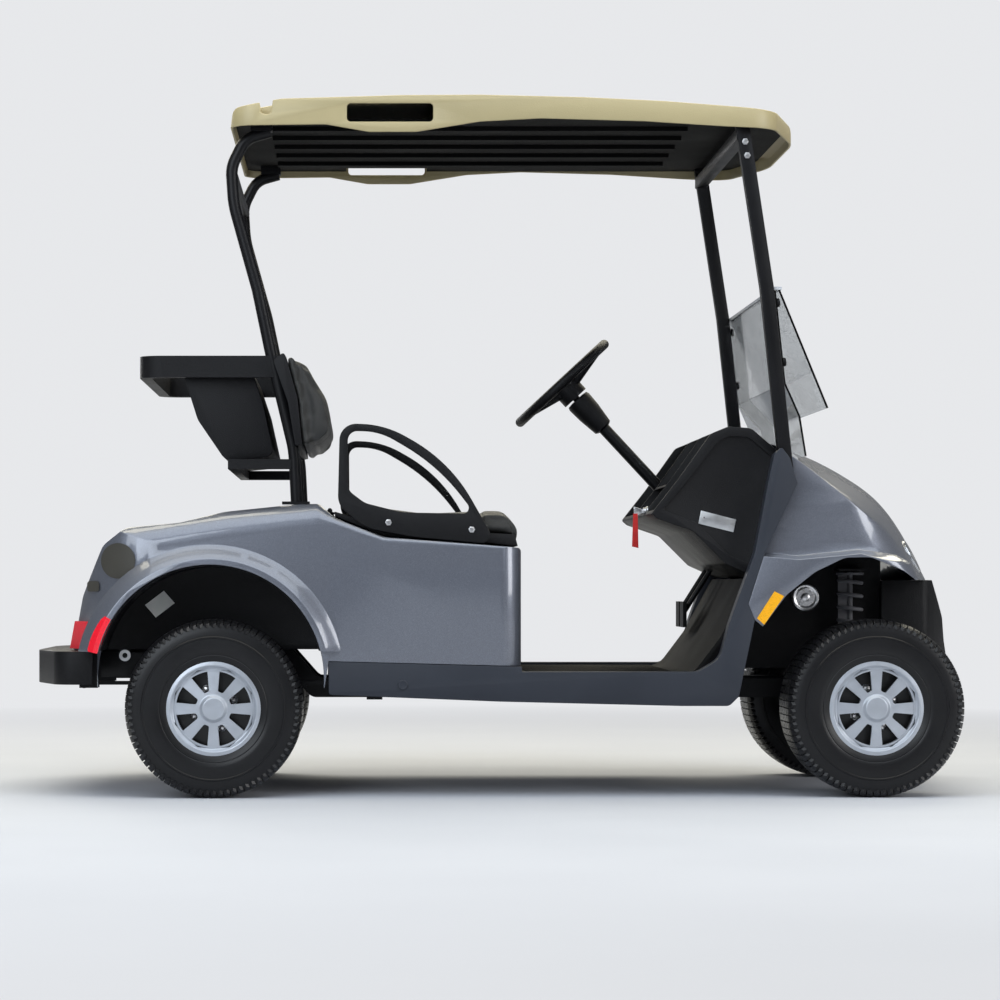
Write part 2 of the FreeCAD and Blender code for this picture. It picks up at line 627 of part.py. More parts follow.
# Front wheel liners: black inner walls of the front wheel arches, slotted round the shock towers
LINER_Y = 188.0
LINER_HALF_WALL = 2.0
liner_wall = [
    (520, 318, 0), (566, 398, 0), (652, 556, 0), (674, 617, 0), (BUMPER_REAR_X + 4, 617, 0),
    (BUMPER_REAR_X + 4, 318, 0),
]
tower_x = FRONT_AXLE_X - 22
liners = []
for side in (-1, 1):
    y0, y1 = sorted((side * (LINER_Y - LINER_HALF_WALL), side * (LINER_Y + LINER_HALF_WALL)))
    wall = side_prism(liner_wall, y0, y1)
    y0, y1 = sorted((side * (LINER_Y - LINER_HALF_WALL), side * (BUMPER_HALF_WIDTH - PANEL_WALL - 0.3)))
    flange = block(BUMPER_REAR_X, BUMPER_REAR_X + 4, y0, y1, 318, COWL_SKIRT_Z - 20)
    slot = block(tower_x - 34.3, tower_x + 34.3, -300, 300, SHOCK_TOP_Z - 0.3, SHOCK_TOP_Z + 6.3)
    liners.append(fused([wall, flange]).cut(slot))
nodes["front_liners"] = Part.makeCompound(liners)

# Headlamps: two lenses set in the nose
LENS_DEPTH = 6.0
cowl_clear = cowl_mass(-SEAT_FIT)
lens_front = cowl_mass(-LENS_DEPTH)
lamps = []
for side in (-1, 1):
    ball = Part.makeSphere(46, vec(1064, side * 330, 610))
    lamps.append(ball.common(lens_front).cut(cowl_clear))


# Rear body: the moulded panel round the wheels, the seat box and the tail
REAR_TOP = [
    (SEAT_BOX_FRONT_X, 200, 0), (SEAT_BOX_FRONT_X, 630, 12), (-304, 657, 120), (-425, 705, 20),
    (-465, 741, 12), (-513, 741, 60), (-707, 721, 200), (-819, 693, 150), (-955, 681, 60),
    (-1014, 637, 40), (-1071, 507, 80), (-1100, 372, 0), (-1100, 200, 0),
]
REAR_PLAN = [
    (SEAT_BOX_FRONT_X, -BODY_HALF_WIDTH, 55), (-1000, -BODY_HALF_WIDTH, 220), (-1130, -300, 200),
    (-1130, 300, 200), (-1000, BODY_HALF_WIDTH, 220), (SEAT_BOX_FRONT_X, BODY_HALF_WIDTH, 55),
]
SIDE_BOTTOM = [
    (SEAT_BOX_FRONT_X + 9, 150, 0), (SEAT_BOX_FRONT_X + 9, 331, 0), (-441, 344, 0), (-451, 277, 0),
    (-1030, 277, 0), (-1030, 368, 0), (-1200, 368, 0), (-1200, 150, 0),
]


REAR_SHOULDER = (
    # x, z of the top, radius of the shoulder
    (120, 634, 18), (-304, 661, 18), (-428, 713, 30), (-470, 747, 60), (-700, 728, 70), (-955, 689, 70),
    (-1200, 655, 70),
)


def rear_shoulder(inset):
    """Solid under the rear body's top, with its long edges rounded."""
    half = BODY_HALF_WIDTH - inset
    wires = []
    for x, top_z, radius in REAR_SHOULDER:
        top = top_z - inset
        corners = [
            (-half, 100, 0), (-half, top, radius - inset), (half, top, radius - inset), (half, 100, 0),
        ]
        wires.append(path(corners, on_front(x)))
    return Part.makeLoft(wires, True, True)


def rear_mass(inset):
    side = inset_prism(REAR_TOP, on_side(-700), inset, vec(0, 1400, 0))
    plan = inset_prism(REAR_PLAN, on_plan(150), inset, vec(0, 0, 700))
    return side.common(plan).common(rear_shoulder(inset))


def flare(side):
    """The lip round the rear wheel arch, tapering outwards to its edge."""
    root = vec(ARCH_X, side * (BODY_HALF_WIDTH - 2), ARCH_Z)
    cone = Part.makeCone(FLARE_RADIUS, ARCH_RADIUS + 14, FLARE_OUT, root, vec(0, side, 0))
    return cone.cut(block(-1200, 0, -900, 900, -200, 368))


arch_cut = rod(vec(ARCH_X, -900, ARCH_Z), vec(ARCH_X, 900, ARCH_Z), ARCH_RADIUS)
middle_keep = block(-1300, 100, -WELL_HALF_WIDTH, WELL_HALF_WIDTH, 0, 900)
arch_cut = arch_cut.cut(middle_keep)
rear_shell = rear_mass(0).multiFuse([flare(-1), flare(1)]).cut(rear_mass(PANEL_WALL))
rear_shell = rear_shell.cut(arch_cut)
rear_shell = rear_shell.cut(side_prism(SIDE_BOTTOM, -900, 900))
seat_opening = block(-422, 10, -470, 470, 560, 900)
well_opening = block(-1300, WELL_FRONT_X + WELL_GAP, -WELL_HALF_WIDTH, WELL_HALF_WIDTH, WELL_FLOOR_Z, 900)
rear_shell = rear_shell.cut(seat_opening).cut(well_opening)
nodes["rear_body"] = rear_shell

# Tail corner caps: dark covers let onto the corners, a round one over a small square one
SKIN_PIECE = 3.0
square_cap = [(-1058, 519, 8), (-1024, 519, 8), (-1024, 546, 8), (-1058, 546, 8)]
rear_solid = rear_mass(0)
rear_skin = rear_mass(-SKIN_PIECE)
caps = []
for side in (-1, 1):
    near, far = sorted((side * 380, side * 700))
    for plug in (rod(vec(-974, near, 597), vec(-974, far, 597), 45), side_prism(square_cap, near, far)):
        caps.append(plug.common(rear_skin).cut(rear_solid))
nodes["tail_caps"] = Part.makeCompound(caps)

# Bag well: the black tray behind the seat, with the inner walls of the rear wheel arches
well_out = WELL_HALF_WIDTH - WELL_GAP
well = block(-1090, WELL_FRONT_X, -well_out, well_out, WELL_FLOOR_Z + WELL_GAP, 780)
well = well.cut(
    block(-1200, WELL_FRONT_X - WELL_WALL, -well_out + WELL_WALL, well_out - WELL_WALL,
          WELL_FLOOR_Z + WELL_GAP + WELL_WALL, 900)
)
top_line = inset_prism(REAR_TOP, on_side(-700), 0, vec(0, 1400, 0))
well = well.common(top_line)
liner_radius = ARCH_RADIUS - WELL_GAP
liners = []
for side in (-1, 1):
    inner_y = side * (well_out - WELL_WALL)
    outer_y = side * (BODY_HALF_WIDTH - PANEL_WALL)
    hood = rod(vec(ARCH_X, inner_y, ARCH_Z), vec(ARCH_X, outer_y, ARCH_Z), liner_radius)
    hood = hood.cut(rod(vec(ARCH_X, inner_y, ARCH_Z), vec(ARCH_X, outer_y, ARCH_Z), liner_radius - WELL_WALL))
    disc = rod(vec(ARCH_X, inner_y, ARCH_Z), vec(ARCH_X, side * well_out, ARCH_Z), liner_radius - 1)
    liners.append(fused([hood, disc]).cut(block(-1200, 0, -900, 900, -200, 370)))
nodes["bag_well"] = fused([well] + liners)

# Rear bumper: black moulded bar, wrapped round the tail
BUMPER_TOP = 367.7
bumper_plan = [
    (-1040, -500, 0), (-1130, -500, 60), (TAIL_X, -260, 300), (TAIL_X, 260, 300),
    (-1130, 500, 60), (-1040, 500, 0),
]
rear_bumper = plan_prism(bumper_plan, 283, BUMPER_TOP)
inner_plan = [
    (-1040, -494, 0), (-1124, -494, 55), (TAIL_X + 8, -256, 292), (TAIL_X + 8, 256, 292),
    (-1124, 494, 55), (-1040, 494, 0),
]
rear_bumper = rear_bumper.cut(plan_prism(inner_plan, 200, BUMPER_TOP - 6))
nodes["rear_bumper"] = rear_bumper.cut(block(-1090, -1030, -340, 340, 200, 400))

# Seat: pan and cushion, hinged at the back, with a hip restraint on each side
HINGE = (-440.0, 729.0)
HINGE_RADIUS = 6.0
HINGE_PIN = 3.0
pan_outline = [
    (38, 632 + SEAT_GAP, 0), (-304, 659 + SEAT_GAP, 120), (-421, 706 + SEAT_GAP, 0), (-426, 712, 0),
    (-426, 722, 0), (-300, 686, 0), (30, 664, 0),
]
pan = side_prism(pan_outline, -SEAT_HALF_WIDTH, SEAT_HALF_WIDTH)
LUGS = ((-80, 652), (-290, 676))
pan_parts = [pan]
for side in (-1, 1):
    for x, z in LUGS:
        pan_parts.append(rod(vec(x, side * (SEAT_HALF_WIDTH - 10), z), vec(x, side * 503.7, z), 8))
    y0, y1 = sorted((side * 250, side * 290))
    pan_parts.append(rod(vec(HINGE[0], y0, HINGE[1]), vec(HINGE[0], y1, HINGE[1]), HINGE_RADIUS))
    pan_parts.append(block(HINGE[0], -420, y0, y1, 720, 725))
    pan_parts.append(block(HINGE[0], HINGE[0] + 6, y0, y1, 720.5, 729))
pan = fused(pan_parts)
for side in (-1, 1):
    y0, y1 = sorted((side * 240, side * 300))
    pan = pan.cut(rod(vec(HINGE[0], y0, HINGE[1]), vec(HINGE[0], y1, HINGE[1]), HINGE_PIN + RUNNING_FIT))
nodes["seat_pan"] = pan
hinges = []
for side in (-1, 1):
    parts = [rod(vec(HINGE[0], side * 229, HINGE[1]), vec(HINGE[0], side * 311, HINGE[1]), HINGE_PIN)]
    for near, far in ((229, 249), (291, 311)):
        y0, y1 = sorted((side * near, side * far))
        parts.append(rod(vec(HINGE[0], y0, HINGE[1]), vec(HINGE[0], y1, HINGE[1]), HINGE_RADIUS))
        parts.append(block(HINGE[0] - 22, HINGE[0], y0, y1, HINGE[1] - HINGE_RADIUS, HINGE[1]))
    hinges.append(fused(parts).cut(rear_solid))
nodes["seat_hinges"] = Part.makeCompound(hinges)
cushion_outline = [
    (30.3, 664.3, 0), (38.3, 633, 0), (50, 633, 12), (58, 680, 30), (20, 722, 40), (-200, 714, 200),
    (-418, 742, 10), (-418, 720.1, 0), (-300, 686.4, 0),
]
nodes["seat_cushion"] = side_prism(cushion_outline, -SEAT_HALF_WIDTH, SEAT_HALF_WIDTH)

RESTRAINT_Y = (504.0, 538.0)
restraint_outer = [
    (-418, 738, 50), (-413, 944, 42), (-300, 941, 240), (-135, 848, 400), (-26, 656, 22), (-50, 641, 10),
    (-224, 657, 300), (-350, 680, 120),
]
restraint_inner = [
    (-392, 775, 30), (-393, 926, 24), (-312, 924, 160), (-165, 838, 500), (-71, 716, 15), (-255, 719, 250),
    (-350, 743, 60),
]
restraint = side_prism(restraint_outer, *RESTRAINT_Y).cut(side_prism(restraint_inner, 400, 700))
nodes["hip_restraints"] = Part.makeCompound(both_sides(restraint))

# Backrest: cushion on a moulded shell, notched round the struts
back_cushion = [
    (-437, 917, 20), (-441, 959, 60), (-451, 1006, 60), (-484, 1059, 60), (-504, 1098, 20), (-540, 1120, 10),
    (-548, 1112, 0), (-520, 1010, 0), (-508, 892, 0), (-469, 890, 20),
]
nodes["backrest_cushion"] = side_prism(back_cushion, -SEAT_HALF_WIDTH, SEAT_HALF_WIDTH)
back_shell = [
    (-508.3, 892, 0), (-520.3, 1010, 0), (-548.4, 1112.5, 0), (-556, 1126, 6), (-583, 1105, 10),
    (-545, 1000, 100), (-526, 888, 6),
]
STRUT_LINE = [
    (-523, 742, 0), (-530, 880, 300), (-590, 1130, 400), (-623, 1288, 400), (-684, 1506, 250),
    (-690, 1600, 90), (-654, 1672, 60), (-590, 1690, 0),
]


def strut(y, radius):
    section = Part.Wire(Part.makeCircle(radius, vec(STRUT_LINE[0][0], y, STRUT_LINE[0][1]), vec(0, 0, 1)))
    return bent_bar(STRUT_LINE, on_side(y), section)


shell = side_prism(back_shell, -SEAT_HALF_WIDTH, SEAT_HALF_WIDTH)
notches = [strut(s * STRUT_Y, STRUT_WIDTH / 2 + 0.5) for s in (-1, 1)]
for s in (-1, 1):
    notches.append(block(-640, -545, s * STRUT_Y - 16, s * STRUT_Y + 16, 880, 1140))
nodes["backrest_shell"] = shell.cut(Part.makeCompound(notches))

# Rear struts: two bent tubes from the body to the roof, with a cross tube behind the seat
struts = [strut(s * STRUT_Y, STRUT_WIDTH / 2) for s in (-1, 1)]
feet = [block(-560, -490, s * STRUT_Y - 30, s * STRUT_Y + 30, 741.3, 748) for s in (-1, 1)]
cross = rod(vec(-684, -STRUT_Y, 1580), vec(-684, STRUT_Y, 1580), 11)
heads = [block(-640, -585, s * STRUT_Y - 22, s * STRUT_Y + 22, 1690, LINER_Z - 0.3) for s in (-1, 1)]
nodes["rear_struts"] = fused(struts + feet + heads + [cross])

# Front posts, joined by a cross bar under the roof
cross = block(589, 619, -POST_SIDE_Y[1], POST_SIDE_Y[1], 1660, 1690)
nodes["front_posts"] = fused(both_sides(post) + [cross])

# Roof: moulded shell with hand holds in its sides, and the black ribbed underside
ROOF_TOP = [
    (-690, 1690, 0), (-682, 1738, 20), (-560, 1760, 60), (-256, 1769, 0), (-60, 1770, 0), (197, 1764, 0),
    (403, 1754, 0), (598, 1739, 200), (752, 1724, 14), (768, 1704, 10), (768, 1600, 0), (-690, 1600, 0),
]
ROOF_PLAN = [
    (-690, -ROOF_HALF_WIDTH, 60), (680, -ROOF_HALF_WIDTH, 80), (766, -250, 500), (766, 250, 500),
    (680, ROOF_HALF_WIDTH, 80), (-690, ROOF_HALF_WIDTH, 60),
]
ROOF_LOW = [
    (-700, 1560, 0), (-700, 1692, 0), (-448, 1695, 60), (-340, 1676, 60), (-220, 1676, 60), (-60, 1702, 100),
    (94, 1710, 200), (351, 1703, 200), (557, 1690, 200), (800, 1680, 0), (800, 1560, 0),
]
ROOF_WALL = 6.0
SLOT_X = (-395.0, -178.0)
SLOT_Z = (1702.0, 1748.0)
ROOF_GROOVE = [(-626, 1880, 0), (-612, 1723, 10), (-586, 1719, 10), (-566, 1880, 0)]
GROOVE_Y = 470.0


def roof_mass(inset):
    side = inset_prism(ROOF_TOP, on_side(-700), inset, vec(0, 1400, 0))
    plan = inset_prism(ROOF_PLAN, on_plan(1500), inset, vec(0, 0, 400))
    groove = inset_prism(ROOF_GROOVE, on_side(GROOVE_Y - inset), -inset, vec(0, 300, 0))
    return side.common(plan).cut(Part.makeCompound(both_sides(groove)))


roof = roof_mass(0).cut(roof_mass(ROOF_WALL)).cut(block(-684, 760, -554, 554, 1590, 1680))
roof = roof.cut(side_prism(ROOF_LOW, -900, 900))
slot_outline = [
    (SLOT_X[0], SLOT_Z[0], 10), (SLOT_X[1], SLOT_Z[0], 10), (SLOT_X[1], SLOT_Z[1], 10),
    (SLOT_X[0], SLOT_Z[1], 10),
]
slots = side_prism(slot_outline, -900, 900)
nodes["roof"] = roof.cut(slots)
RIB_YS = (-360.0, -180.0, 0.0, 180.0, 360.0)
liner = roof_mass(ROOF_WALL + 0.3).common(block(-800, 800, -600, 600, LINER_Z, LINER_Z + 6))
liner = liner.cut(block(740, 800, -900, 900, 1600, 1800))
for side in (-1, 1):
    y0, y1 = sorted((side * 480, side * 600))
    liner = liner.cut(block(SLOT_X[0] - 6, SLOT_X[1] + 6, y0, y1, 1600, 1800))
ribs = [block(-590, 480, y - 22, y + 22, LINER_Z - 10, LINER_Z + 1) for y in RIB_YS]
nodes["roof_liner"] = fused([liner] + ribs)

# Windshield: the lower pane on the posts and the upper one folded down in front
lower_pane = [
    (684.2, 1280, 0), (708.6, 1046, 0), (746, 962, 0), (762, 862, 0),
    (767, 862, 0), (751, 963, 0), (713.6, 1047, 0), (689.2, 1280, 0),
]
upper_pane = [(695, 1280, 0), (817, 982, 0), (822, 984, 0), (700, 1282, 0)]
nodes["windshield"] = Part.makeCompound([
    side_prism(lower_pane, -GLASS_HALF_WIDTH, GLASS_HALF_WIDTH).cut(cowl_clear),
    side_prism(upper_pane, -GLASS_HALF_WIDTH, GLASS_HALF_WIDTH),
])
hinge = block(684, 704, -GLASS_HALF_WIDTH, GLASS_HALF_WIDTH, 1282.3, 1290)
nodes["windshield_fittings"] = hinge

# Dashboard: one hollow moulding, open to the riders, with a cup shelf between its two trays
DASH_HALF_WIDTH = TRIM_INNER_Y - SEAT_FIT
DASH_END_WALL = 6.0
DASH_RECESS = 12.0
dash_outline = [
    (377, 717, 6), (392, 704, 8), (482, 673, 30), (565, 590, 20), (642, 556, 0), (664, 620, 0),
    (690, 760, 0), (716, 858, 0), (690, 882, 0), (630, 934, 30), (572, 938, 25), (528, 920, 25), (443, 801, 0),
]
dash_pocket = [
    (340, 742, 0), (396, 724, 0), (488, 690, 24), (571, 608, 20), (637, 577, 0), (657, 622, 0),
    (683, 762, 0), (708, 854, 0), (686, 874, 0), (628, 927, 24), (575, 931, 20), (560, 927, 0),
    (480, 990, 0), (340, 850, 0),
]
end_recess = [
    (404, 726, 8), (492, 694, 30), (573, 612, 20), (638, 584, 0), (652, 622, 0), (676, 764, 0),
    (694, 846, 10), (682, 862, 10), (624, 910, 24), (578, 914, 20), (546, 900, 20), (462, 792, 10),
]
pocket_y = DASH_HALF_WIDTH - DASH_RECESS - DASH_END_WALL
dash_solid = side_prism(dash_outline, -DASH_HALF_WIDTH, DASH_HALF_WIDTH)
recess = side_prism(end_recess, DASH_HALF_WIDTH - DASH_RECESS, DASH_HALF_WIDTH + 1)
dash = dash_solid.cut(side_prism(dash_pocket, -pocket_y, pocket_y)).cut(Part.makeCompound(both_sides(recess)))
CUP_RADIUS = 42.0
CUP_WALL = 3.0
CUP_X = 500.0
CUP_YS = (-150.0, -50.0, 50.0)
CUP_FLOOR_Z = 735.0
CUP_SHELF_Z = 800.0
SHELF_Y = (-210.0, 110.0)
shelf = block(400, 690, *SHELF_Y, CUP_SHELF_Z - DASH_END_WALL, CUP_SHELF_Z).common(dash_solid)
dividers = [side_prism(dash_outline, y - 2.5, y + 2.5) for y in SHELF_Y]
cups = [
    Part.makeCylinder(CUP_RADIUS + CUP_WALL, CUP_SHELF_Z - CUP_FLOOR_Z + CUP_WALL, vec(CUP_X, y, CUP_FLOOR_Z - CUP_WALL))
    for y in CUP_YS
]
dash = fused([dash, shelf] + dividers + cups)
for y in CUP_YS:
    dash = dash.cut(Part.makeCylinder(CUP_RADIUS, 100, vec(CUP_X, y, CUP_FLOOR_Z)))

# Steering column and wheel on one slanted axis, held by a bracket inside the dashboard
WHEEL_CENTRE = vec(195, 250, 1091)
STEER_AXIS = vec(-0.68, 0, 0.733).normalize()
COLUMN_RADIUS = 16.5
column_end = WHEEL_CENTRE - STEER_AXIS * 590
column_start = WHEEL_CENTRE - STEER_AXIS * 60
column = rod(column_end, column_start, COLUMN_RADIUS)
shaft_bore = rod(column_end + STEER_AXIS * 60, column_start, 10.05)
nodes["steering_column"] = column.cut(shaft_bore)
bracket = block(582, 588, WHEEL_CENTRE.y - 45, WHEEL_CENTRE.y + 45, 590, 716)
dash = fused([dash, bracket.common(dash_solid)])
nodes["dashboard"] = dash.cut(rod(column_end - STEER_AXIS * 40, column_start, COLUMN_RADIUS + 0.5))
RIM_RADIUS = 157.0
RIM_TUBE = 13.0
rim = Part.makeTorus(RIM_RADIUS, RIM_TUBE, WHEEL_CENTRE, STEER_AXIS)
hub = rod(WHEEL_CENTRE - STEER_AXIS * 55, WHEEL_CENTRE - STEER_AXIS * 12, 38)
shaft = rod(WHEEL_CENTRE - STEER_AXIS * 150, WHEEL_CENTRE - STEER_AXIS * 50, 10)
spokes = []
across = STEER_AXIS.cross(vec(0, 1, 0))
for angle in (90, 210, 330):
    turn = math.radians(angle)
    reach = (vec(0, 1, 0) * math.sin(turn) + across * math.cos(turn)) * RIM_RADIUS
    spokes.append(rod(WHEEL_CENTRE - STEER_AXIS * 30, WHEEL_CENTRE + reach, 9))
nodes["steering_wheel"] = fused([rim, hub, shaft] + spokes)

# Pedals: brake and accelerator on the toe board
pads = []
for y in (210, 330):
    pads.append(block(520, 530, y - 45, y + 45, 420, 490))
    pads.append(rod(vec(526, y, 460), vec(603, y, 582), 7).cut(nodes["dashboard"]))
nodes["pedals"] = Part.makeCompound([fused(pads[0:2]), fused(pads[2:4])])

# Lamps and reflectors
nodes["headlamps"] = Part.makeCompound(lamps)
amber = [(682, 520, 0), (706, 508, 0), (656, 436, 0), (638, 452, 0)]
band = side_prism(amber, BODY_HALF_WIDTH + 0.3, BODY_HALF_WIDTH + 3)
nodes["front_reflectors"] = Part.makeCompound(both_sides(band))
LAMP_DEPTH = 9.0
lamp_skin = rear_mass(-LAMP_DEPTH).cut(rear_solid)
reflector_skin = rear_skin.cut(rear_solid)
reflector_outline = [(-1000, 449, 0), (-991, 443, 0), (-1024, 371, 0), (-1060, 371, 0), (-1032, 427, 60)]
rear_lamps = []
for side in (-1, 1):
    y0, y1 = sorted((side * 330, side * 460))
    rear_lamps.append(lamp_skin.common(block(-1200, -1040, y0, y1, 373, 443)))
    y0, y1 = sorted((side * 470, side * 600))
    rear_lamps.append(reflector_skin.common(side_prism(reflector_outline, y0, y1)))
nodes["tail_lamps"] = Part.makeCompound(rear_lamps)

# Bag rack and basket behind the seat
rack_outer = [(-560, -470, 0), (-925, -470, 60), (-925, 470, 60), (-560, 470, 0)]
rack_inner = [(-500, -440, 0), (-895, -440, 40), (-895, 440, 40), (-500, 440, 0)]
rack = plan_prism(rack_outer, 1064, 1119).cut(plan_prism(rack_inner, 1000, 1200))
grips = Part.makeCompound([strut(s * STRUT_Y, STRUT_WIDTH / 2 + 0.5) for s in (-1, 1)])
rack = rack.cut(grips).cut(block(-572, -500, -900, 900, 1000, 1200))
lower_bars = []
for side in (-1, 1):
    y0, y1 = sorted((side * 440, side * 470))
    lower_bars.append(block(-698, -536, y0, y1, 831, 856).cut(grips))
    lower_bars.append(block(-698, -674, -441, 441, 831, 852.7))
nodes["bag_rack"] = Part.makeCompound([rack, fused(lower_bars)])
basket_outline = [
    (-818, 1090, 20), (-640, 1090, 10), (-610, 1000, 30), (-580, 864, 20), (-705, 853, 30), (-776, 957, 60),
]
BASKET_HALF_WIDTH = 439.7
basket = side_prism(basket_outline, -BASKET_HALF_WIDTH, BASKET_HALF_WIDTH)
basket_inner = [
    (-813, 1100, 0), (-650, 1100, 0), (-616, 1000, 30), (-588, 872, 14), (-702, 860, 26), (-770, 959, 56),
]
basket = basket.cut(side_prism(basket_inner, 5 - BASKET_HALF_WIDTH, BASKET_HALF_WIDTH - 5))
nodes["basket"] = basket

# Horn on the front wheel well
horn = rod(vec(781, -360, 504), vec(781, -390, 504), 36)
bracket = block(600, 781, -364, -358, 494, 514).cut(side_prism(mat_outline[:4] + [(400, 548, 0), (400, 300, 0)], -600, 600))
nodes["horn"] = fused([horn, bracket])


os.makedirs("parts", exist_ok=True)
for name, shape in nodes.items():
    shape.exportStep("parts/" + name + ".step")
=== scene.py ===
import bmesh
import bpy
import math
from mathutils import Matrix, Vector


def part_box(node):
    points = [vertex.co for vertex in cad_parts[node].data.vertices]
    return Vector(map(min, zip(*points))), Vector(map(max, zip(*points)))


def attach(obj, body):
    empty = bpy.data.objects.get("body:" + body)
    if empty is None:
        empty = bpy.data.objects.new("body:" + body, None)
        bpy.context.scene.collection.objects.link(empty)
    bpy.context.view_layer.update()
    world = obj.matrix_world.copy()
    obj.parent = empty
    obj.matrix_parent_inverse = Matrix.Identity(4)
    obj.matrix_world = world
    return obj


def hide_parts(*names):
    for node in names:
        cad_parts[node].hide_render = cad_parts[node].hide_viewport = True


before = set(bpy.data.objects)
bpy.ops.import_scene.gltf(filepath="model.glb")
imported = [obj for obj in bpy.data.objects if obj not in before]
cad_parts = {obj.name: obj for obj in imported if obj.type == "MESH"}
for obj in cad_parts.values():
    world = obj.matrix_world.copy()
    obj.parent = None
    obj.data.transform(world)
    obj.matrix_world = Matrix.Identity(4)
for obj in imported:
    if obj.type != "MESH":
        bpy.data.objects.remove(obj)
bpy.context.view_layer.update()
scene = bpy.context.scene
scene.view_settings.view_transform = "Standard"


# Camera: the photograph is taken square to the right-hand side from about nine metres,
# low down and a little behind the middle of the cart, with the picture's centre raised and moved forward.
camera_data = bpy.data.cameras.new("camera")
camera_data.lens = 121.5
camera_data.sensor_width = 36.0
camera_data.shift_x = 0.14
camera_data.shift_y = 0.083
camera_data.clip_end = 200.0
camera = bpy.data.objects.new("camera", camera_data)
camera.location = (-0.362, -9.05, 0.541)
camera.rotation_euler = (math.radians(90), 0, 0)
scene.collection.objects.link(camera)
scene.camera = camera


# Lamps: two long warm panels overhead as in a showroom, a cool window high on the camera's side, a cool panel
# beside the camera, and weaker ones in front and behind.
def softbox(name, place, aim, width, height, power, tint):
    """A soft rectangular lamp, out of the camera's sight. Metres and watts."""
    lamp = bpy.data.lights.new(name, "AREA")
    lamp.shape = "RECTANGLE"
    lamp.size = width
    lamp.size_y = height
    lamp.energy = power
    lamp.color = tint
    holder = bpy.data.objects.new(name, lamp)
    holder.location = place
    holder.rotation_euler = (Vector(aim) - Vector(place)).to_track_quat("-Z", "Y").to_euler()
    holder.visible_camera = False
    scene.collection.objects.link(holder)


WARM = (1.0, 0.94, 0.76)
PLAIN = (1.0, 1.0, 1.0)
COOL = (0.86, 0.93, 1.0)
softbox("overhead_near", (0, -0.35, 4.3), (0, -0.35, 0), 7.0, 1.3, 130, WARM)
softbox("overhead_far", (0, 3.0, 4.0), (0, 0, 0.8), 7.0, 3.0, 230, WARM)
softbox("high_window", (0, -2.7, 4.1), (0, -0.3, 0.6), 7.0, 3.0, 155, COOL)
softbox("beside_camera", (-3.2, -5.4, 2.6), (0, 0, 0.7), 4.0, 2.6, 145, COOL)
softbox("front_quarter", (4.6, -3.2, 2.0), (0.3, 0, 0.7), 2.4, 2.4, 105, PLAIN)
softbox("behind", (-3.4, 5.0, 2.2), (0, 0, 0.8), 3.0, 1.6, 50, PLAIN)


# Finishes: one class for every material, and one for the sockets that its maths runs on.
# Arithmetic on a socket adds the Math nodes. Every pattern reads the piece's own coordinates.
class Signal:
    """An output socket that can be added to, taken from, multiplied and raised to a power."""

    def __init__(self, finish, socket):
        self.finish = finish
        self.socket = socket

    def maths(self, operation, first, second=0.0):
        return self.finish.node("ShaderNodeMath", {"operation": operation}, {0: first, 1: second})

    def __add__(self, other):
        return self.maths("ADD", self, other)

    def __sub__(self, other):
        return self.maths("SUBTRACT", self, other)

    def __mul__(self, other):
        return self.maths("MULTIPLY", self, other)

    def __pow__(self, other):
        return self.maths("POWER", self, other)


class Finish:
    """A material: constants go on its surface, and patterns are fed into its inputs."""

    def __init__(self, name, constants):
        self.material = bpy.data.materials.new(name)
        self.material.use_nodes = True
        self.tree = self.material.node_tree
        self.surface = self.tree.nodes["Principled BSDF"]
        for socket, value in constants.items():
            self.surface.inputs[socket].default_value = value
        self.place = self.node("ShaderNodeTexCoord", output="Object")

    def node(self, kind, settings=None, sockets=None, output=0):
        made = self.tree.nodes.new(kind)
        for setting, value in (settings or {}).items():
            setattr(made, setting, value)
        for key, value in (sockets or {}).items():
            self.feed(made.inputs[key], value)
        return Signal(self, made.outputs[output])

    def feed(self, socket, value):
        if isinstance(value, Signal):
            self.tree.links.new(value.socket, socket)
        else:
            socket.default_value = value

    def give(self, socket, value):
        self.feed(self.surface.inputs[socket], value)

    def noise(self, scale, detail=2.0, place=None):
        sockets = {"Vector": place or self.place, "Scale": scale, "Detail": detail}
        return self.node("ShaderNodeTexNoise", {}, sockets)

    def cells(self, scale, feature="DISTANCE_TO_EDGE"):
        sockets = {"Vector": self.place, "Scale": scale}
        return self.node("ShaderNodeTexVoronoi", {"feature": feature}, sockets)

    def between(self, value, low, high, to_low=0.0, to_high=1.0):
        sockets = {"Value": value, "From Min": low, "From Max": high, "To Min": to_low, "To Max": to_high}
        return self.node("ShaderNodeMapRange", {"clamp": True}, sockets)

    def mix(self, factor, first, second):
        return self.node("ShaderNodeMix", {"data_type": "RGBA"}, {0: factor, 6: first, 7: second}, output=2)

    def axis(self, letter):
        return self.node("ShaderNodeSeparateXYZ", {}, {0: self.place}, output="XYZ".index(letter))

    def bump(self, height, depth):
        self.give("Normal", self.node("ShaderNodeBump", {}, {"Height": height, "Distance": depth}))


def shade(colour, amount):
    """The colour made lighter or darker, as a node colour."""
    return tuple(min(1.0, c * amount) for c in colour[:3]) + (1.0,)


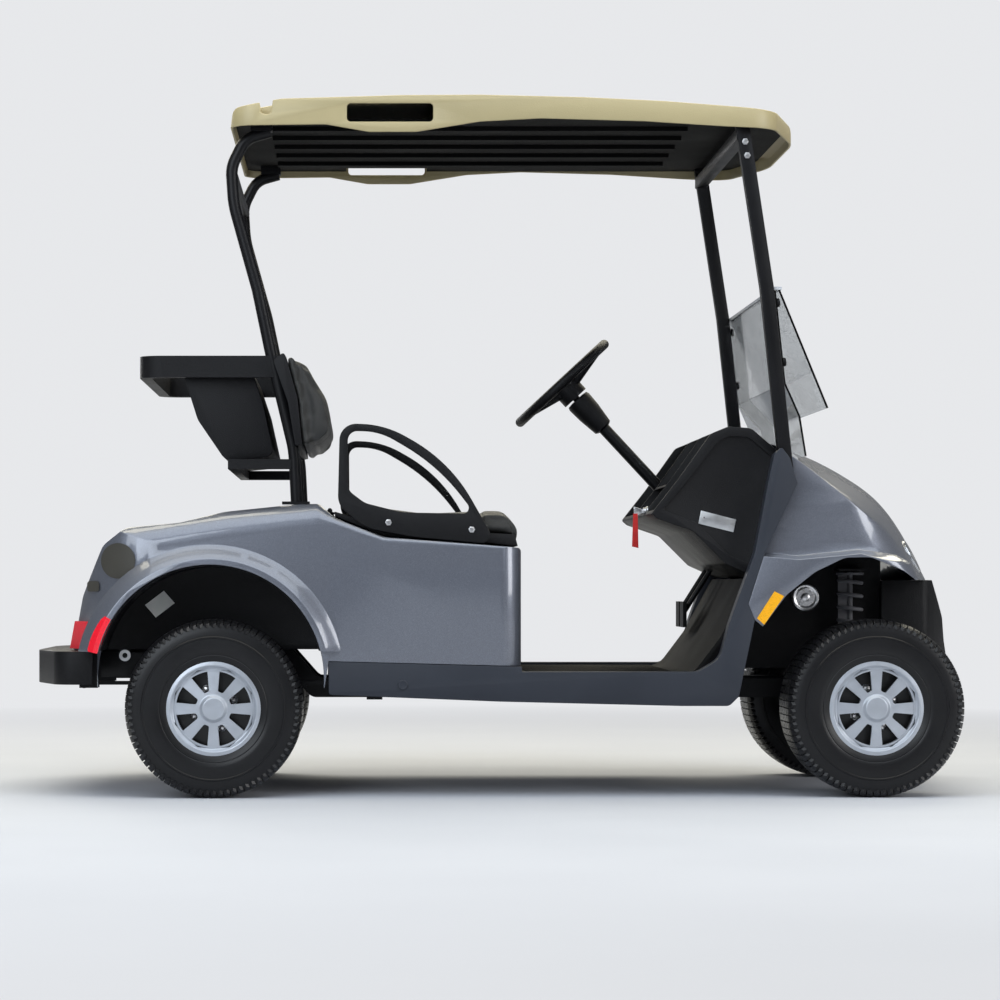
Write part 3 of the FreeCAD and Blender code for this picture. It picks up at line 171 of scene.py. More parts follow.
# Floor and background: a plain pale floor that runs out into the same pale tone at the horizon.
# Light Path keeps the background pale for the camera without adding light to the cart.
PALE = (0.80, 0.81, 0.83)
FLOOR_DARK = (0.50, 0.52, 0.57, 1)
FLOOR_LIGHT = (0.53, 0.55, 0.60, 1)
FLOOR_RADIUS = 60.0
FADE_START, FADE_END = 1.3, 6.0
floor_mesh = bpy.data.meshes.new("floor")
floor_shape = bmesh.new()
bmesh.ops.create_circle(floor_shape, cap_ends=True, radius=FLOOR_RADIUS, segments=64)
floor_shape.to_mesh(floor_mesh)
floor_shape.free()
floor = bpy.data.objects.new("floor", floor_mesh)
scene.collection.objects.link(floor)
floor_finish = Finish("floor_pale", {"Roughness": 0.75, "Specular IOR Level": 0.2})
floor_tone = floor_finish.between(floor_finish.noise(1.3), 0.3, 0.7)
floor_finish.give("Base Color", floor_finish.mix(floor_tone, FLOOR_DARK, FLOOR_LIGHT))
glow = floor_finish.tree.nodes.new("ShaderNodeEmission")
glow.inputs["Color"].default_value = PALE + (1.0,)
reach = floor_finish.node(
    "ShaderNodeVectorMath", {"operation": "LENGTH"}, {0: floor_finish.place}, output="Value")
to_horizon = floor_finish.between(reach, FADE_START, FADE_END)
seen = floor_finish.node("ShaderNodeLightPath", output="Is Camera Ray")
blend = floor_finish.tree.nodes.new("ShaderNodeMixShader")
links = floor_finish.tree.links
links.new((to_horizon * seen).socket, blend.inputs[0])
links.new(floor_finish.surface.outputs[0], blend.inputs[1])
links.new(glow.outputs[0], blend.inputs[2])
links.new(blend.outputs[0], floor_finish.tree.nodes["Material Output"].inputs["Surface"])
floor_mesh.materials.append(floor_finish.material)

world = bpy.data.worlds.new("studio")
world.use_nodes = True
scene.world = world
sky = world.node_tree
room = sky.nodes["Background"]
room.inputs["Color"].default_value = (0.78, 0.80, 0.84, 1)
room.inputs["Strength"].default_value = 0.22
pale = sky.nodes.new("ShaderNodeBackground")
pale.inputs["Color"].default_value = PALE + (1.0,)
path = sky.nodes.new("ShaderNodeLightPath")
either = sky.nodes.new("ShaderNodeMath")
either.operation = "MAXIMUM"
choice = sky.nodes.new("ShaderNodeMixShader")
sky.links.new(path.outputs["Is Camera Ray"], either.inputs[0])
sky.links.new(path.outputs["Is Transmission Ray"], either.inputs[1])
sky.links.new(either.outputs[0], choice.inputs[0])
sky.links.new(room.outputs[0], choice.inputs[1])
sky.links.new(pale.outputs[0], choice.inputs[2])
sky.links.new(choice.outputs[0], sky.nodes["World Output"].inputs["Surface"])


# Chassis: welded steel rails and cross members in satin black paint over the whole frame, with the
# suspension's arms and leaf springs bolted on in the same paint. The front shocks and their coils are grey.
def wear(finish, colour, scale, roughness):
    """Uneven tone and gloss, as handling and dust leave on a plain coat."""
    patches = finish.noise(scale, 5.0)
    finish.give("Base Color", finish.mix(patches, shade(colour, 0.78), shade(colour, 1.25)))
    finish.give("Roughness", finish.between(patches, 0.25, 0.75, roughness - 0.06, roughness + 0.08))


def coated_steel(name, colour, roughness, peel):
    """Paint on steel: an orange-peel surface over uneven tone."""
    finish = Finish(name, {"Specular IOR Level": 0.2})
    wear(finish, colour, 7.0, roughness)
    finish.bump(finish.noise(420.0, 1.0), peel)
    return finish.material


def dress(node, material):
    """Gives a CAD piece its finish."""
    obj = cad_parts[node]
    obj.data.materials.clear()
    obj.data.materials.append(material)


BLACK_PAINT = (0.006, 0.006, 0.007)
black_steel = coated_steel("satin_black_steel", BLACK_PAINT, 0.36, 0.0002)
for node in ("chassis_frame", "front_suspension", "tie_rod", "rear_suspension", "steering_column",
             "seat_hinges", "rear_struts", "pedals"):
    dress(node, black_steel)
dress("front_shocks", coated_steel("grey_springs", (0.13, 0.13, 0.14), 0.40, 0.0003))


# Knuckles and rear axle: sand castings, left rough, with a thin coat of black that has dulled.
cast = Finish("dull_casting", {"Metallic": 0.35})
wear(cast, (0.05, 0.048, 0.046), 22.0, 0.62)
cast.bump(cast.noise(260.0, 3.0), 0.0006)
for node in ("knuckle_left", "knuckle_right", "rear_axle"):
    dress(node, cast.material)


# Battery pack: one closed steel case under the seat, in powder coat a little greyer than the frame's,
# and strapped down on the frame's rails.
dress("battery_pack", coated_steel("battery_case", (0.03, 0.031, 0.034), 0.42, 0.0002))


# Wheels: a pressed steel rim in black primer, with a moulded cover in silver paint clipped on its face.
# The cover's spokes fall away from a round cap to a flat rim, and its windows show the dark rim behind.
SILVER = (0.42, 0.45, 0.50)
PRIMER = (0.010, 0.010, 0.011, 1)
WHEELS = ("front_left", "front_right", "rear_left", "rear_right")
COVER_BACK = 0.073  # metres out from the tyre's middle
wheel_centres = {}
for wheel in WHEELS:
    low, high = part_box("tyre_" + wheel)
    centre = (Vector(low) + Vector(high)) / 2
    wheel_centres[wheel] = centre
    outward = 1 if centre.y > 0 else -1
    cover = Finish("cover_" + wheel, {"Coat Weight": 0.3, "Coat Roughness": 0.15})
    depth = (cover.axis("Y") - centre.y) * outward
    face = cover.between(depth, COVER_BACK - 0.002, COVER_BACK)
    patches = cover.noise(30.0, 5.0)
    silver = cover.mix(patches, shade(SILVER, 0.88), shade(SILVER, 1.12))
    cover.give("Base Color", cover.mix(face, PRIMER, silver))
    cover.give("Metallic", face * 0.5)
    cover.give("Roughness", cover.between(patches, 0.25, 0.75, 0.30, 0.42))
    cover.bump(cover.noise(900.0, 1.0), 0.00008)
    dress("wheel_" + wheel, cover.material)


# Tyres: moulded rubber carcasses with a zigzag block tread, 78 pitches round, on all four wheels.
# The sidewall has a scuff rib and two fine rings, and the shoulder blocks run down over its edge.
def lathe(profile, centre, steps, closed):
    """Mesh of a profile of (y, radius) turned round the Y axis through a centre."""
    shape = bmesh.new()
    rings = []
    for y, radius in profile:
        ring = []
        for k in range(steps):
            turn = 2 * math.pi * k / steps
            ring.append(shape.verts.new((
                centre.x + radius * math.sin(turn), centre.y + y, centre.z + radius * math.cos(turn))))
        rings.append(ring)
    pairs = list(zip(rings, rings[1:]))
    if closed:
        pairs.append((rings[-1], rings[0]))
    for ring, after in pairs:
        for k in range(steps):
            n = (k + 1) % steps
            shape.faces.new((ring[k], ring[n], after[n], after[k]))
    bmesh.ops.recalc_face_normals(shape, faces=shape.faces[:])
    return shape


def meshed(shape):
    """The mesh of a finished bmesh."""
    mesh = bpy.data.meshes.new("shape")
    shape.to_mesh(mesh)
    shape.free()
    return mesh


def crown(y):
    """Radius of the tread's top at a distance y from the middle: flat, then over the shoulder."""
    past = max(0.0, abs(y) - FLAT_HALF) / SHOULDER
    return TYRE_RADIUS - CROWN_DROP * (y / FLAT_HALF) ** 2 - SHOULDER_DROP * past ** 2


def tread_pitch():
    """One pitch of tread: a chevron block in each row, standing on the carcass."""
    half = math.pi * TYRE_RADIUS / PITCHES - CROSS_CUT
    shape = bmesh.new()
    for start, end, cuts in TREAD_ROWS:
        tops, bases = [], []
        for i in range(cuts + 1):
            y = start + (end - start) * i / cuts
            for s in (-half, 0.0, half):
                point = CHEVRON * (1 - abs(s) / half)
                width = y + (point if y > 0 else -point)
                turn = s / TYRE_RADIUS
                for rows, drop in ((tops, 0.0), (bases, GROOVE + ROOT)):
                    radius = crown(width) - drop
                    rows.append(shape.verts.new((radius * math.sin(turn), width, radius * math.cos(turn))))
        for i in range(cuts):
            for j in range(2):
                a = 3 * i + j
                shape.faces.new((tops[a], tops[a + 1], tops[a + 4], tops[a + 3]))
            for j in (0, 2):
                a = 3 * i + j
                shape.faces.new((tops[a], tops[a + 3], bases[a + 3], bases[a]))
        for i in (0, cuts):
            for j in range(2):
                a = 3 * i + j
                shape.faces.new((tops[a], tops[a + 1], bases[a + 1], bases[a]))
    bmesh.ops.recalc_face_normals(shape, faces=shape.faces[:])
    return meshed(shape)


def bare_tree(name, inputs):
    """A Geometry Nodes tree with its named inputs, one geometry output and no nodes yet."""
    tree = bpy.data.node_groups.new(name, "GeometryNodeTree")
    for title, kind in inputs:
        tree.interface.new_socket(title, in_out="INPUT", socket_type="NodeSocket" + kind)
    tree.interface.new_socket("Geometry", in_out="OUTPUT", socket_type="NodeSocketGeometry")
    return tree


def ring_tree(name):
    """Geometry Nodes: the incoming mesh, copied round the Y axis, moved to a centre and given a finish."""
    tree = bare_tree(name, (
        ("Geometry", "Geometry"), ("Copies", "Int"), ("Centre", "Vector"), ("Finish", "Material")))
    given = tree.nodes.new("NodeGroupInput")
    points = tree.nodes.new("GeometryNodePoints")
    index = tree.nodes.new("GeometryNodeInputIndex")
    share = tree.nodes.new("ShaderNodeMath")
    share.operation = "DIVIDE"
    turn = tree.nodes.new("ShaderNodeMath")
    turn.operation = "MULTIPLY"
    turn.inputs[1].default_value = 2 * math.pi
    spin = tree.nodes.new("ShaderNodeCombineXYZ")
    place = tree.nodes.new("GeometryNodeInstanceOnPoints")
    real = tree.nodes.new("GeometryNodeRealizeInstances")
    move = tree.nodes.new("GeometryNodeTransform")
    paint = tree.nodes.new("GeometryNodeSetMaterial")
    result = tree.nodes.new("NodeGroupOutput")
    for start, end in (
        (given.outputs["Copies"], points.inputs["Count"]),
        (index.outputs[0], share.inputs[0]), (given.outputs["Copies"], share.inputs[1]),
        (share.outputs[0], turn.inputs[0]), (turn.outputs[0], spin.inputs["Y"]),
        (points.outputs[0], place.inputs["Points"]), (given.outputs["Geometry"], place.inputs["Instance"]),
        (spin.outputs[0], place.inputs["Rotation"]), (place.outputs[0], real.inputs[0]),
        (real.outputs[0], move.inputs["Geometry"]), (given.outputs["Centre"], move.inputs["Translation"]),
        (move.outputs[0], paint.inputs["Geometry"]), (given.outputs["Finish"], paint.inputs["Material"]),
        (paint.outputs[0], result.inputs[0]),
    ):
        tree.links.new(start, end)
    return tree


def grown(obj, tree, values):
    """Runs a Geometry Nodes tree on an object and keeps its result as a plain mesh."""
    modifier = obj.modifiers.new(tree.name, "NODES")
    modifier.node_group = tree
    for item in tree.interface.items_tree:
        if item.in_out == "INPUT" and item.name in values:
            modifier[item.identifier] = values[item.name]
    return settled(obj)


def settled(obj):
    """The object with its modifiers worked out into a plain mesh."""
    graph = bpy.context.evaluated_depsgraph_get()
    graph.update()
    mesh = bpy.data.meshes.new_from_object(obj.evaluated_get(graph))
    obj.modifiers.clear()
    obj.data = mesh
    return obj


def placed(name, mesh, material=None):
    """A new object in the scene for a mesh."""
    obj = bpy.data.objects.new(name, mesh)
    scene.collection.objects.link(obj)
    if material:
        mesh.materials.clear()
        mesh.materials.append(material)
    return obj


def joined(name, parts):
    """One object from several, with each part's finish kept."""
    shape = bmesh.new()
    materials = []
    for part in parts:
        offset = len(materials)
        materials.extend(part.data.materials)
        before = len(shape.faces)
        shape.from_mesh(part.data)
        shape.faces.ensure_lookup_table()
        for face in shape.faces[before:]:
            face.material_index += offset
    mesh = meshed(shape)
    for material in materials:
        mesh.materials.append(material)
    for part in parts:
        bpy.data.objects.remove(part)
    return placed(name, mesh)


def smoothed(obj, angle=35.0):
    """Smooth shading, with edges sharper than the angle kept crisp."""
    mesh = obj.data
    mesh.polygons.foreach_set("use_smooth", [True] * len(mesh.polygons))
    mesh.set_sharp_from_angle(angle=math.radians(angle))
    return obj


tyre_low, tyre_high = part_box("tyre_front_left")
TYRE_RADIUS = (tyre_high[2] - tyre_low[2]) / 2
PITCHES = 78
GROOVE = 0.007
ROOT = 0.002  # how far each block's foot reaches into the carcass
CROSS_CUT = 0.0014  # half the gap between one block and the next
CHEVRON = 0.0045
FLAT_HALF, CROWN_DROP = 0.080, 0.0012
SHOULDER, SHOULDER_DROP = 0.024, 0.011
TREAD_ROWS = (
    # from y, to y, cuts across
    (-0.0985, -0.066, 4), (-0.060, -0.030, 2), (-0.0245, 0.0, 1), (0.0004, 0.0245, 1), (0.030, 0.060, 2),
    (0.066, 0.0985, 4),
)
half_profile = [
    # distance from the middle, radius: from the bead out to the shoulder
    (0.0838, 0.1023), (0.0890, 0.108), (0.0950, 0.117), (0.1000, 0.128), (0.1018, 0.134), (0.1008, 0.1355),
    (0.1022, 0.1375), (0.1036, 0.148), (0.1042, 0.165), (0.1038, 0.176), (0.1054, 0.1775), (0.1054, 0.1805),
    (0.1032, 0.1825), (0.1026, 0.192), (0.1010, 0.201),
]
for y in (0.098, 0.092, 0.084, 0.07, 0.045, 0.015):
    half_profile.append((y, crown(y) - GROOVE))
profile = half_profile + [(-y, r) for y, r in reversed(half_profile)]
rubber = Finish("tyre_rubber", {"Specular IOR Level": 0.15, "Coat Weight": 0.3, "Coat Roughness": 0.28})
wear(rubber, (0.007, 0.007, 0.008), 14.0, 0.38)
rubber.bump(rubber.noise(340.0, 3.0), 0.0004)
copy_round = ring_tree("copies_round_the_axle")
for wheel in WHEELS:
    node = "tyre_" + wheel
    centre = wheel_centres[wheel]
    carcass = placed("carcass", meshed(lathe(profile, centre, 156, closed=True)), rubber.material)
    tread = placed("tread", tread_pitch())
    grown(tread, copy_round, {"Copies": PITCHES, "Centre": centre, "Finish": rubber.material})
    whole = smoothed(joined("tyre_tread_" + wheel, [carcass, tread]), 32.0)
    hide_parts(node)
    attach(whole, wheel + "_wheel")


# Lug nuts: four zinc-plated hexagon nuts on each rim, with a flange and a domed end.
# They hold the rim on its hub, and show through the cover's windows.
def turned(name, profile, place, facing, steps, material):
    """A lathe-turned piece: profile of (height, radius) along the way it faces."""
    shape = lathe(profile, Vector((0, 0, 0)), steps, closed=False)
    ends = [edge for edge in shape.edges if edge.is_boundary]
    bmesh.ops.holes_fill(shape, edges=ends)
    bmesh.ops.recalc_face_normals(shape, faces=shape.faces[:])
    turn = Vector((0, 1, 0)).rotation_difference(Vector(facing)).to_matrix().to_4x4()
    bmesh.ops.transform(shape, matrix=Matrix.Translation(place) @ turn, verts=shape.verts[:])
    return smoothed(placed(name, meshed(shape), material))


zinc = Finish("zinc_plate", {"Metallic": 1.0})
wear(zinc, (0.62, 0.62, 0.63), 60.0, 0.30)
zinc.bump(zinc.noise(500.0, 2.0), 0.0001)
NUT = ((0.0, 0.0125), (0.003, 0.0125), (0.004, 0.0105), (0.014, 0.0105), (0.018, 0.008), (0.020, 0.003))
NUT_SEAT = 0.037
LUG_CIRCLE = 0.0508
LUG_TURN = math.radians(-22.5)
for wheel in WHEELS:
    centre = wheel_centres[wheel]
    outward = 1 if centre.y > 0 else -1
    first = (LUG_CIRCLE * math.sin(LUG_TURN), outward * NUT_SEAT, LUG_CIRCLE * math.cos(LUG_TURN))
    nut = turned("nut", NUT, first, (0, outward, 0), 6, zinc.material)
    grown(nut, copy_round, {"Copies": 4, "Centre": centre, "Finish": zinc.material})
    nut.name = "lug_nuts_" + wheel
    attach(nut, wheel + "_wheel")


# Floor pan and rockers: slate-grey moulded plastic with a fine grain, which also wraps the front posts' feet.
# A round plug closes the drain in each rocker, under the seat.
WELD = 3e-5  # metres between vertices that are one
FLAT = math.radians(0.6)  # faces nearer to level than this are merged
SHARP = math.radians(26)  # edges sharper than this are rounded
SIDES = ((-1, "right"), (1, "left"))


def moulded(name, colour, roughness, grain, depth, sheen=0.18):
    """Injection-moulded plastic: a stippled grain over a slightly uneven tone."""
    finish = Finish(name, {"Specular IOR Level": sheen})
    wear(finish, colour, 5.0, roughness)
    finish.bump(finish.cells(grain, "F1"), depth)
    return finish.material


def eased(node, body, material, width=0.0016, inside=None, heart=None):
    """A moulded or folded CAD piece, remade as one closed skin with its sharp edges rounded.

    The faces that look towards its heart take the inside's finish.
    """
    shape = bmesh.new()
    shape.from_mesh(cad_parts[node].data)
    bmesh.ops.remove_doubles(shape, verts=shape.verts[:], dist=WELD)
    bmesh.ops.dissolve_limit(shape, angle_limit=FLAT, verts=shape.verts[:], edges=shape.edges[:])
    sharp = [e for e in shape.edges if len(e.link_faces) == 2 and e.calc_face_angle() > SHARP]
    bmesh.ops.bevel(shape, geom=sharp, offset=width, segments=2, profile=0.5, affect="EDGES")
    if inside:
        for face in shape.faces:
            face.material_index = int(face.normal.dot(Vector(heart) - face.calc_center_median()) > 0)
    obj = smoothed(placed(node + "_skin", meshed(shape), material))
    if inside:
        obj.data.materials.append(inside)
    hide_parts(node)
    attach(obj, body)


slate = moulded("slate_trim", (0.030, 0.034, 0.044), 0.42, 700.0, 0.00025)
eased("floor_pan", "chassis", slate)
PLUG = ((0.0, 0.013), (0.002, 0.013), (0.0035, 0.0105), (0.0025, 0.008), (0.0025, 0.001))
for side, word in SIDES:
    plug = turned("rocker_plug_" + word, PLUG, (-0.254, side * 0.5478, 0.284), (0, side, 0), 24, slate)
    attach(plug, "chassis")


# Floor mat: black rubber with ribs that run forward to the toe board, laid loose on the floor pan.
# The ribs stop short of the mat's edges.
def row_tree(name):
    """Geometry Nodes: the incoming mesh, repeated in a straight row and given a finish."""
    tree = bare_tree(name, (
        ("Geometry", "Geometry"), ("Copies", "Int"), ("Start", "Vector"), ("Step", "Vector"),
        ("Finish", "Material")))
    given = tree.nodes.new("NodeGroupInput")
    index = tree.nodes.new("GeometryNodeInputIndex")
    along = tree.nodes.new("ShaderNodeVectorMath")
    along.operation = "SCALE"
    spot = tree.nodes.new("ShaderNodeVectorMath")
    spot.operation = "ADD"
    points = tree.nodes.new("GeometryNodePoints")
    place = tree.nodes.new("GeometryNodeInstanceOnPoints")
    real = tree.nodes.new("GeometryNodeRealizeInstances")
    paint = tree.nodes.new("GeometryNodeSetMaterial")
    result = tree.nodes.new("NodeGroupOutput")
    for start, end in (
        (given.outputs["Step"], along.inputs[0]), (index.outputs[0], along.inputs["Scale"]),
        (given.outputs["Start"], spot.inputs[0]), (along.outputs[0], spot.inputs[1]),
        (given.outputs["Copies"], points.inputs["Count"]), (spot.outputs[0], points.inputs["Position"]),
        (points.outputs[0], place.inputs["Points"]), (given.outputs["Geometry"], place.inputs["Instance"]),
        (place.outputs[0], real.inputs[0]), (real.outputs[0], paint.inputs["Geometry"]),
        (given.outputs["Finish"], paint.inputs["Material"]), (paint.outputs[0], result.inputs[0]),
    ):
        tree.links.new(start, end)
    return tree


def slab(name, outline, thick, rounding, material):
    """A flat piece with rounded edges, from the outline of its back and its thickness as a vector."""
    shape = bmesh.new()
    back = shape.faces.new([shape.verts.new(point) for point in outline])
    grown_part = bmesh.ops.extrude_face_region(shape, geom=[back])["geom"]
    front = [part for part in grown_part if isinstance(part, bmesh.types.BMVert)]
    bmesh.ops.translate(shape, vec=thick, verts=front)
    bmesh.ops.recalc_face_normals(shape, faces=shape.faces[:])
    bmesh.ops.bevel(shape, geom=shape.edges[:], offset=rounding, segments=2, profile=0.5, affect="EDGES")
    return smoothed(placed(name, meshed(shape), material))


copy_row = row_tree("copies_in_a_row")
mat_rubber = moulded("mat_rubber", (0.006, 0.006, 0.006), 0.75, 500.0, 0.0003)
dress("floor_mat", mat_rubber)
mat_low, mat_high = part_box("floor_mat")
RIB_FOOT = 0.3075
RIB_HALF = 0.004
RIB_BACK, RIB_FRONT = 0.075, 0.455
RIBS = 36
rib_outline = [(RIB_BACK, -RIB_HALF, 0), (RIB_FRONT, -RIB_HALF, 0), (RIB_FRONT, RIB_HALF, 0),
               (RIB_BACK, RIB_HALF, 0)]
ribs = slab("mat_ribs", rib_outline, (0, 0, 0.003), 0.001, mat_rubber)
rib_step = (mat_high[1] - mat_low[1]) / RIBS
grown(ribs, copy_row, {"Copies": RIBS, "Start": Vector((0, mat_low[1] + rib_step / 2, RIB_FOOT)),
                       "Step": Vector((0, rib_step, 0)), "Finish": mat_rubber})
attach(ribs, "chassis")


# Front posts: square steel tube in satin black, with two plated bolts at each head that hold the cross bar.
# Two moulded knobs on each post clamp the windshield's lower pane.
eased("front_posts", "chassis", black_steel)
BOLT = ((0.0, 0.0085), (0.0018, 0.0085), (0.0022, 0.0065), (0.007, 0.0065), (0.008, 0.005), (0.008, 0.001))
KNOB = ((0.0, 0.010), (0.002, 0.011), (0.006, 0.011), (0.008, 0.008), (0.008, 0.001))


def bolted(name, body, copies, start, step, facing, profile=BOLT, material=None):
    """A straight row of fastener heads on one face."""
    finish = material or zinc.material
    heads = turned(name, profile, (0, 0, 0), facing, 6 if profile is BOLT else 20, finish)
    grown(heads, copy_row, {"Copies": copies, "Start": Vector(start), "Step": Vector(step), "Finish": finish})
    smoothed(heads)
    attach(heads, body)


knob_black = moulded("knob_black", (0.008, 0.008, 0.009), 0.4, 500.0, 0.0002)
PANE_FACE = (0.9946, 0, 0.104)
for side, word in SIDES:
    bolted("post_bolts_" + word, "chassis", 2, (0.6103, side * 0.532, 1.655), (0.0052, 0, -0.035),
           (0, side, 0))
    bolted("pane_knobs_" + word, "chassis", 2, (0.6925, side * 0.510, 1.250), (0.0157, 0, -0.150),
           PANE_FACE, KNOB, knob_black)


# Body panels: the front cowl and the rear body, moulded and screwed to the frame, in metallic charcoal paint
# under clear lacquer. Their insides are left as bare black moulding.
CHARCOAL = (0.122, 0.132, 0.160)
paint = Finish("charcoal_metallic", {
    "Metallic": 0.55, "Coat Weight": 1.0, "Coat Roughness": 0.07, "Specular IOR Level": 0.5,
})
flakes = paint.node("ShaderNodeTexVoronoi", {}, {"Vector": paint.place, "Scale": 1600.0}, output="Color")
flake = paint.node("ShaderNodeSeparateXYZ", {}, {0: flakes}, output=0)
cloud = paint.noise(2.4, 2.0)
tone = paint.mix(cloud, shade(CHARCOAL, 0.92), shade(CHARCOAL, 1.08))
paint.give("Base Color", paint.mix(flake ** 3.0 * 0.5, tone, shade(CHARCOAL, 2.4)))
paint.give("Roughness", paint.between(flake, 0.0, 1.0, 0.30, 0.42))
paint.bump(paint.noise(260.0, 1.0), 0.00004)
bare_inside = moulded("bare_inside", (0.010, 0.010, 0.011), 0.6, 500.0, 0.0003)
for node, heart in (("cowl", (0.80, 0, 0.45)), ("rear_body", (-0.60, 0, 0.30))):
    eased(node, "chassis", paint.material, inside=bare_inside, heart=heart)


# Bumpers, bag well, seat mouldings and rack: black plastic with a coarse grain, screwed to body and frame.
# The roof's liner is duller, and the caps in the tail's corners are grey. The hip restraints are bolted to
# the seat pan, and a blank sticker is left on each wheel arch's lining.
black_plastic = moulded("black_moulding", (0.007, 0.007, 0.008), 0.42, 620.0, 0.0004)
for node in ("front_bumper", "rear_bumper", "bag_well", "backrest_shell", "basket"):
    eased(node, "chassis", black_plastic)
for node in ("seat_pan", "hip_restraints"):
    eased(node, "seat_bottom", black_plastic)
for node in ("bag_rack", "front_liners"):
    dress(node, black_plastic)
dress("roof_liner", moulded("liner_black", (0.004, 0.004, 0.004), 0.6, 620.0, 0.0004, 0.05))
dress("tail_caps", moulded("cap_grey", (0.055, 0.052, 0.044), 0.35, 620.0, 0.0002, 0.3))
sticker = moulded("pale_sticker", (0.78, 0.79, 0.76), 0.5, 300.0, 0.00005)
STICKER = ((-0.917, 0.484), (-0.868, 0.521), (-0.840, 0.489), (-0.889, 0.452))
WELL_SIDE = 0.3399
for side, word in SIDES:
    bolted("restraint_bolts_" + word, "seat_bottom", 2, (-0.080, side * 0.538, 0.676), (-0.210, 0, 0.018),
           (0, side, 0))
    label = slab("arch_sticker_" + word, [(x, side * WELL_SIDE, z) for x, z in STICKER],
                 (0, side * 0.0006, 0), 0.0002, sticker)
    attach(label, "chassis")


# Spring hangers: folded steel plates in the frame's black paint, bolted under its tail on each side.
# A plated bush stands in each one, under the body's floor.
HANGER = ((-1.034, 0.362), (-0.900, 0.362), (-0.905, 0.318), (-0.950, 0.298), (-1.034, 0.298))
HANGER_SIDE = 0.318
BUSH = ((-0.0015, 0.0068), (-0.0015, 0.0148), (0.0015, 0.0148), (0.0015, 0.0068))
BUSH_PLACE = (-0.969, 0.335, 0.354)
for side, word in SIDES:
    hanger = slab("spring_hanger_" + word, [(x, side * HANGER_SIDE, z) for x, z in HANGER],
                  (0, side * 0.003, 0), 0.0006, black_steel)
    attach(hanger, "chassis")
    bush_centre = Vector((BUSH_PLACE[0], side * BUSH_PLACE[1], BUSH_PLACE[2]))
    bush = placed("hanger_bush_" + word, meshed(lathe(BUSH, bush_centre, 32, closed=True)), zinc.material)
    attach(smoothed(bush), "chassis")


# Dashboard: one black moulding, open to the riders. Its recessed right end carries a blank metal plate on
# two screws, and the key, on a red cloth tag, stands in the switch on the lower lip.
eased("dashboard", "chassis", black_plastic, 0.0013)
plate_metal = Finish("brushed_plate", {"Metallic": 1.0})
wear(plate_metal, (0.60, 0.61, 0.62), 40.0, 0.35)
plate_metal.bump(plate_metal.noise(700.0, 1.0), 0.00005)
PLATE = ((0.504, 0.725), (0.593, 0.702), (0.586, 0.670), (0.497, 0.692))
PLATE_BACK = -0.4798
SCREW = ((0.0, 0.004), (0.0015, 0.0035), (0.002, 0.001))
plate = slab("dash_plate", [(x, PLATE_BACK, z) for x, z in PLATE], (0, -0.0015, 0), 0.0004,
             plate_metal.material)
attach(plate, "chassis")
bolted("plate_screws", "chassis", 2, (0.511, -0.4811, 0.706), (0.068, 0, -0.017), (0, -1, 0), SCREW)
SWITCH = ((0.0, 0.013), (0.003, 0.013), (0.005, 0.011), (0.005, 0.009), (0.012, 0.009), (0.012, 0.001))
KEY_Y = -0.25
switch = turned("key_switch", SWITCH, (0.388, KEY_Y, 0.728), (-1, 0, 0), 24, zinc.material)
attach(switch, "chassis")
bow = [(0.378, KEY_Y - 0.001, 0.724), (0.352, KEY_Y - 0.001, 0.715), (0.352, KEY_Y - 0.001, 0.740),
       (0.378, KEY_Y - 0.001, 0.732)]
key = slab("key", bow, (0, 0.002, 0), 0.0004, zinc.material)
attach(key, "chassis")
red_cloth = Finish("red_cloth", {"Sheen Weight": 0.3})
wear(red_cloth, (0.50, 0.012, 0.010), 60.0, 0.8)
red_cloth.bump(red_cloth.noise(900.0, 2.0), 0.0004)
strap = [(0.350, KEY_Y - 0.003, 0.722), (0.347, KEY_Y - 0.003, 0.636), (0.364, KEY_Y - 0.003, 0.632),
         (0.362, KEY_Y - 0.003, 0.722)]
tag = slab("key_tag", strap, (0, 0.002, 0), 0.0005, red_cloth.material)
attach(tag, "chassis")


# Steering wheel: a steel core moulded over in black rubber, with a domed pad pressed on its hub.
# A moulded shroud covers the column's upper end and stays still.
grip = moulded("grip_rubber", (0.008, 0.008, 0.009), 0.42, 500.0, 0.0004)
dress("steering_wheel", grip)
WHEEL_CENTRE = Vector((0.195, 0.250, 1.091))
STEER_AXIS = Vector((-0.68, 0, 0.733)).normalized()
PAD = ((-0.012, 0.040), (-0.004, 0.043), (0.004, 0.040), (0.009, 0.030), (0.011, 0.016), (0.0115, 0.001))
SHROUD = ((-0.170, 0.0185), (-0.165, 0.027), (-0.110, 0.034), (-0.070, 0.036), (-0.062, 0.033),
          (-0.060, 0.018))
pad = turned("wheel_pad", PAD, WHEEL_CENTRE, STEER_AXIS, 40, grip)
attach(pad, "steering_wheel")
shroud = turned("column_shroud", SHROUD, WHEEL_CENTRE, STEER_AXIS, 40, black_plastic)
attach(shroud, "chassis")


# Lenses: amber front reflectors and red rear lamps in acrylic, with small cells moulded behind the colour.
# The headlamps are clear. Behind their polished face, a round bowl inside a bright rim is painted into the
# colour: light in the middle and shading to dark towards its edge, a painted reflection and shade.
def lens(name, colour, cell):
    """Coloured acrylic over small moulded cells."""
    finish = Finish(name, {"Coat Weight": 0.4, "Coat Roughness": 0.05, "Roughness": 0.3})
    edge = finish.cells(cell)
    inside_cell = finish.between(edge, 0.0, 0.12)
    finish.give("Base Color", finish.mix(inside_cell, shade(colour, 0.55), shade(colour, 1.0)))
    finish.bump(edge, 0.0006)
    return finish.material


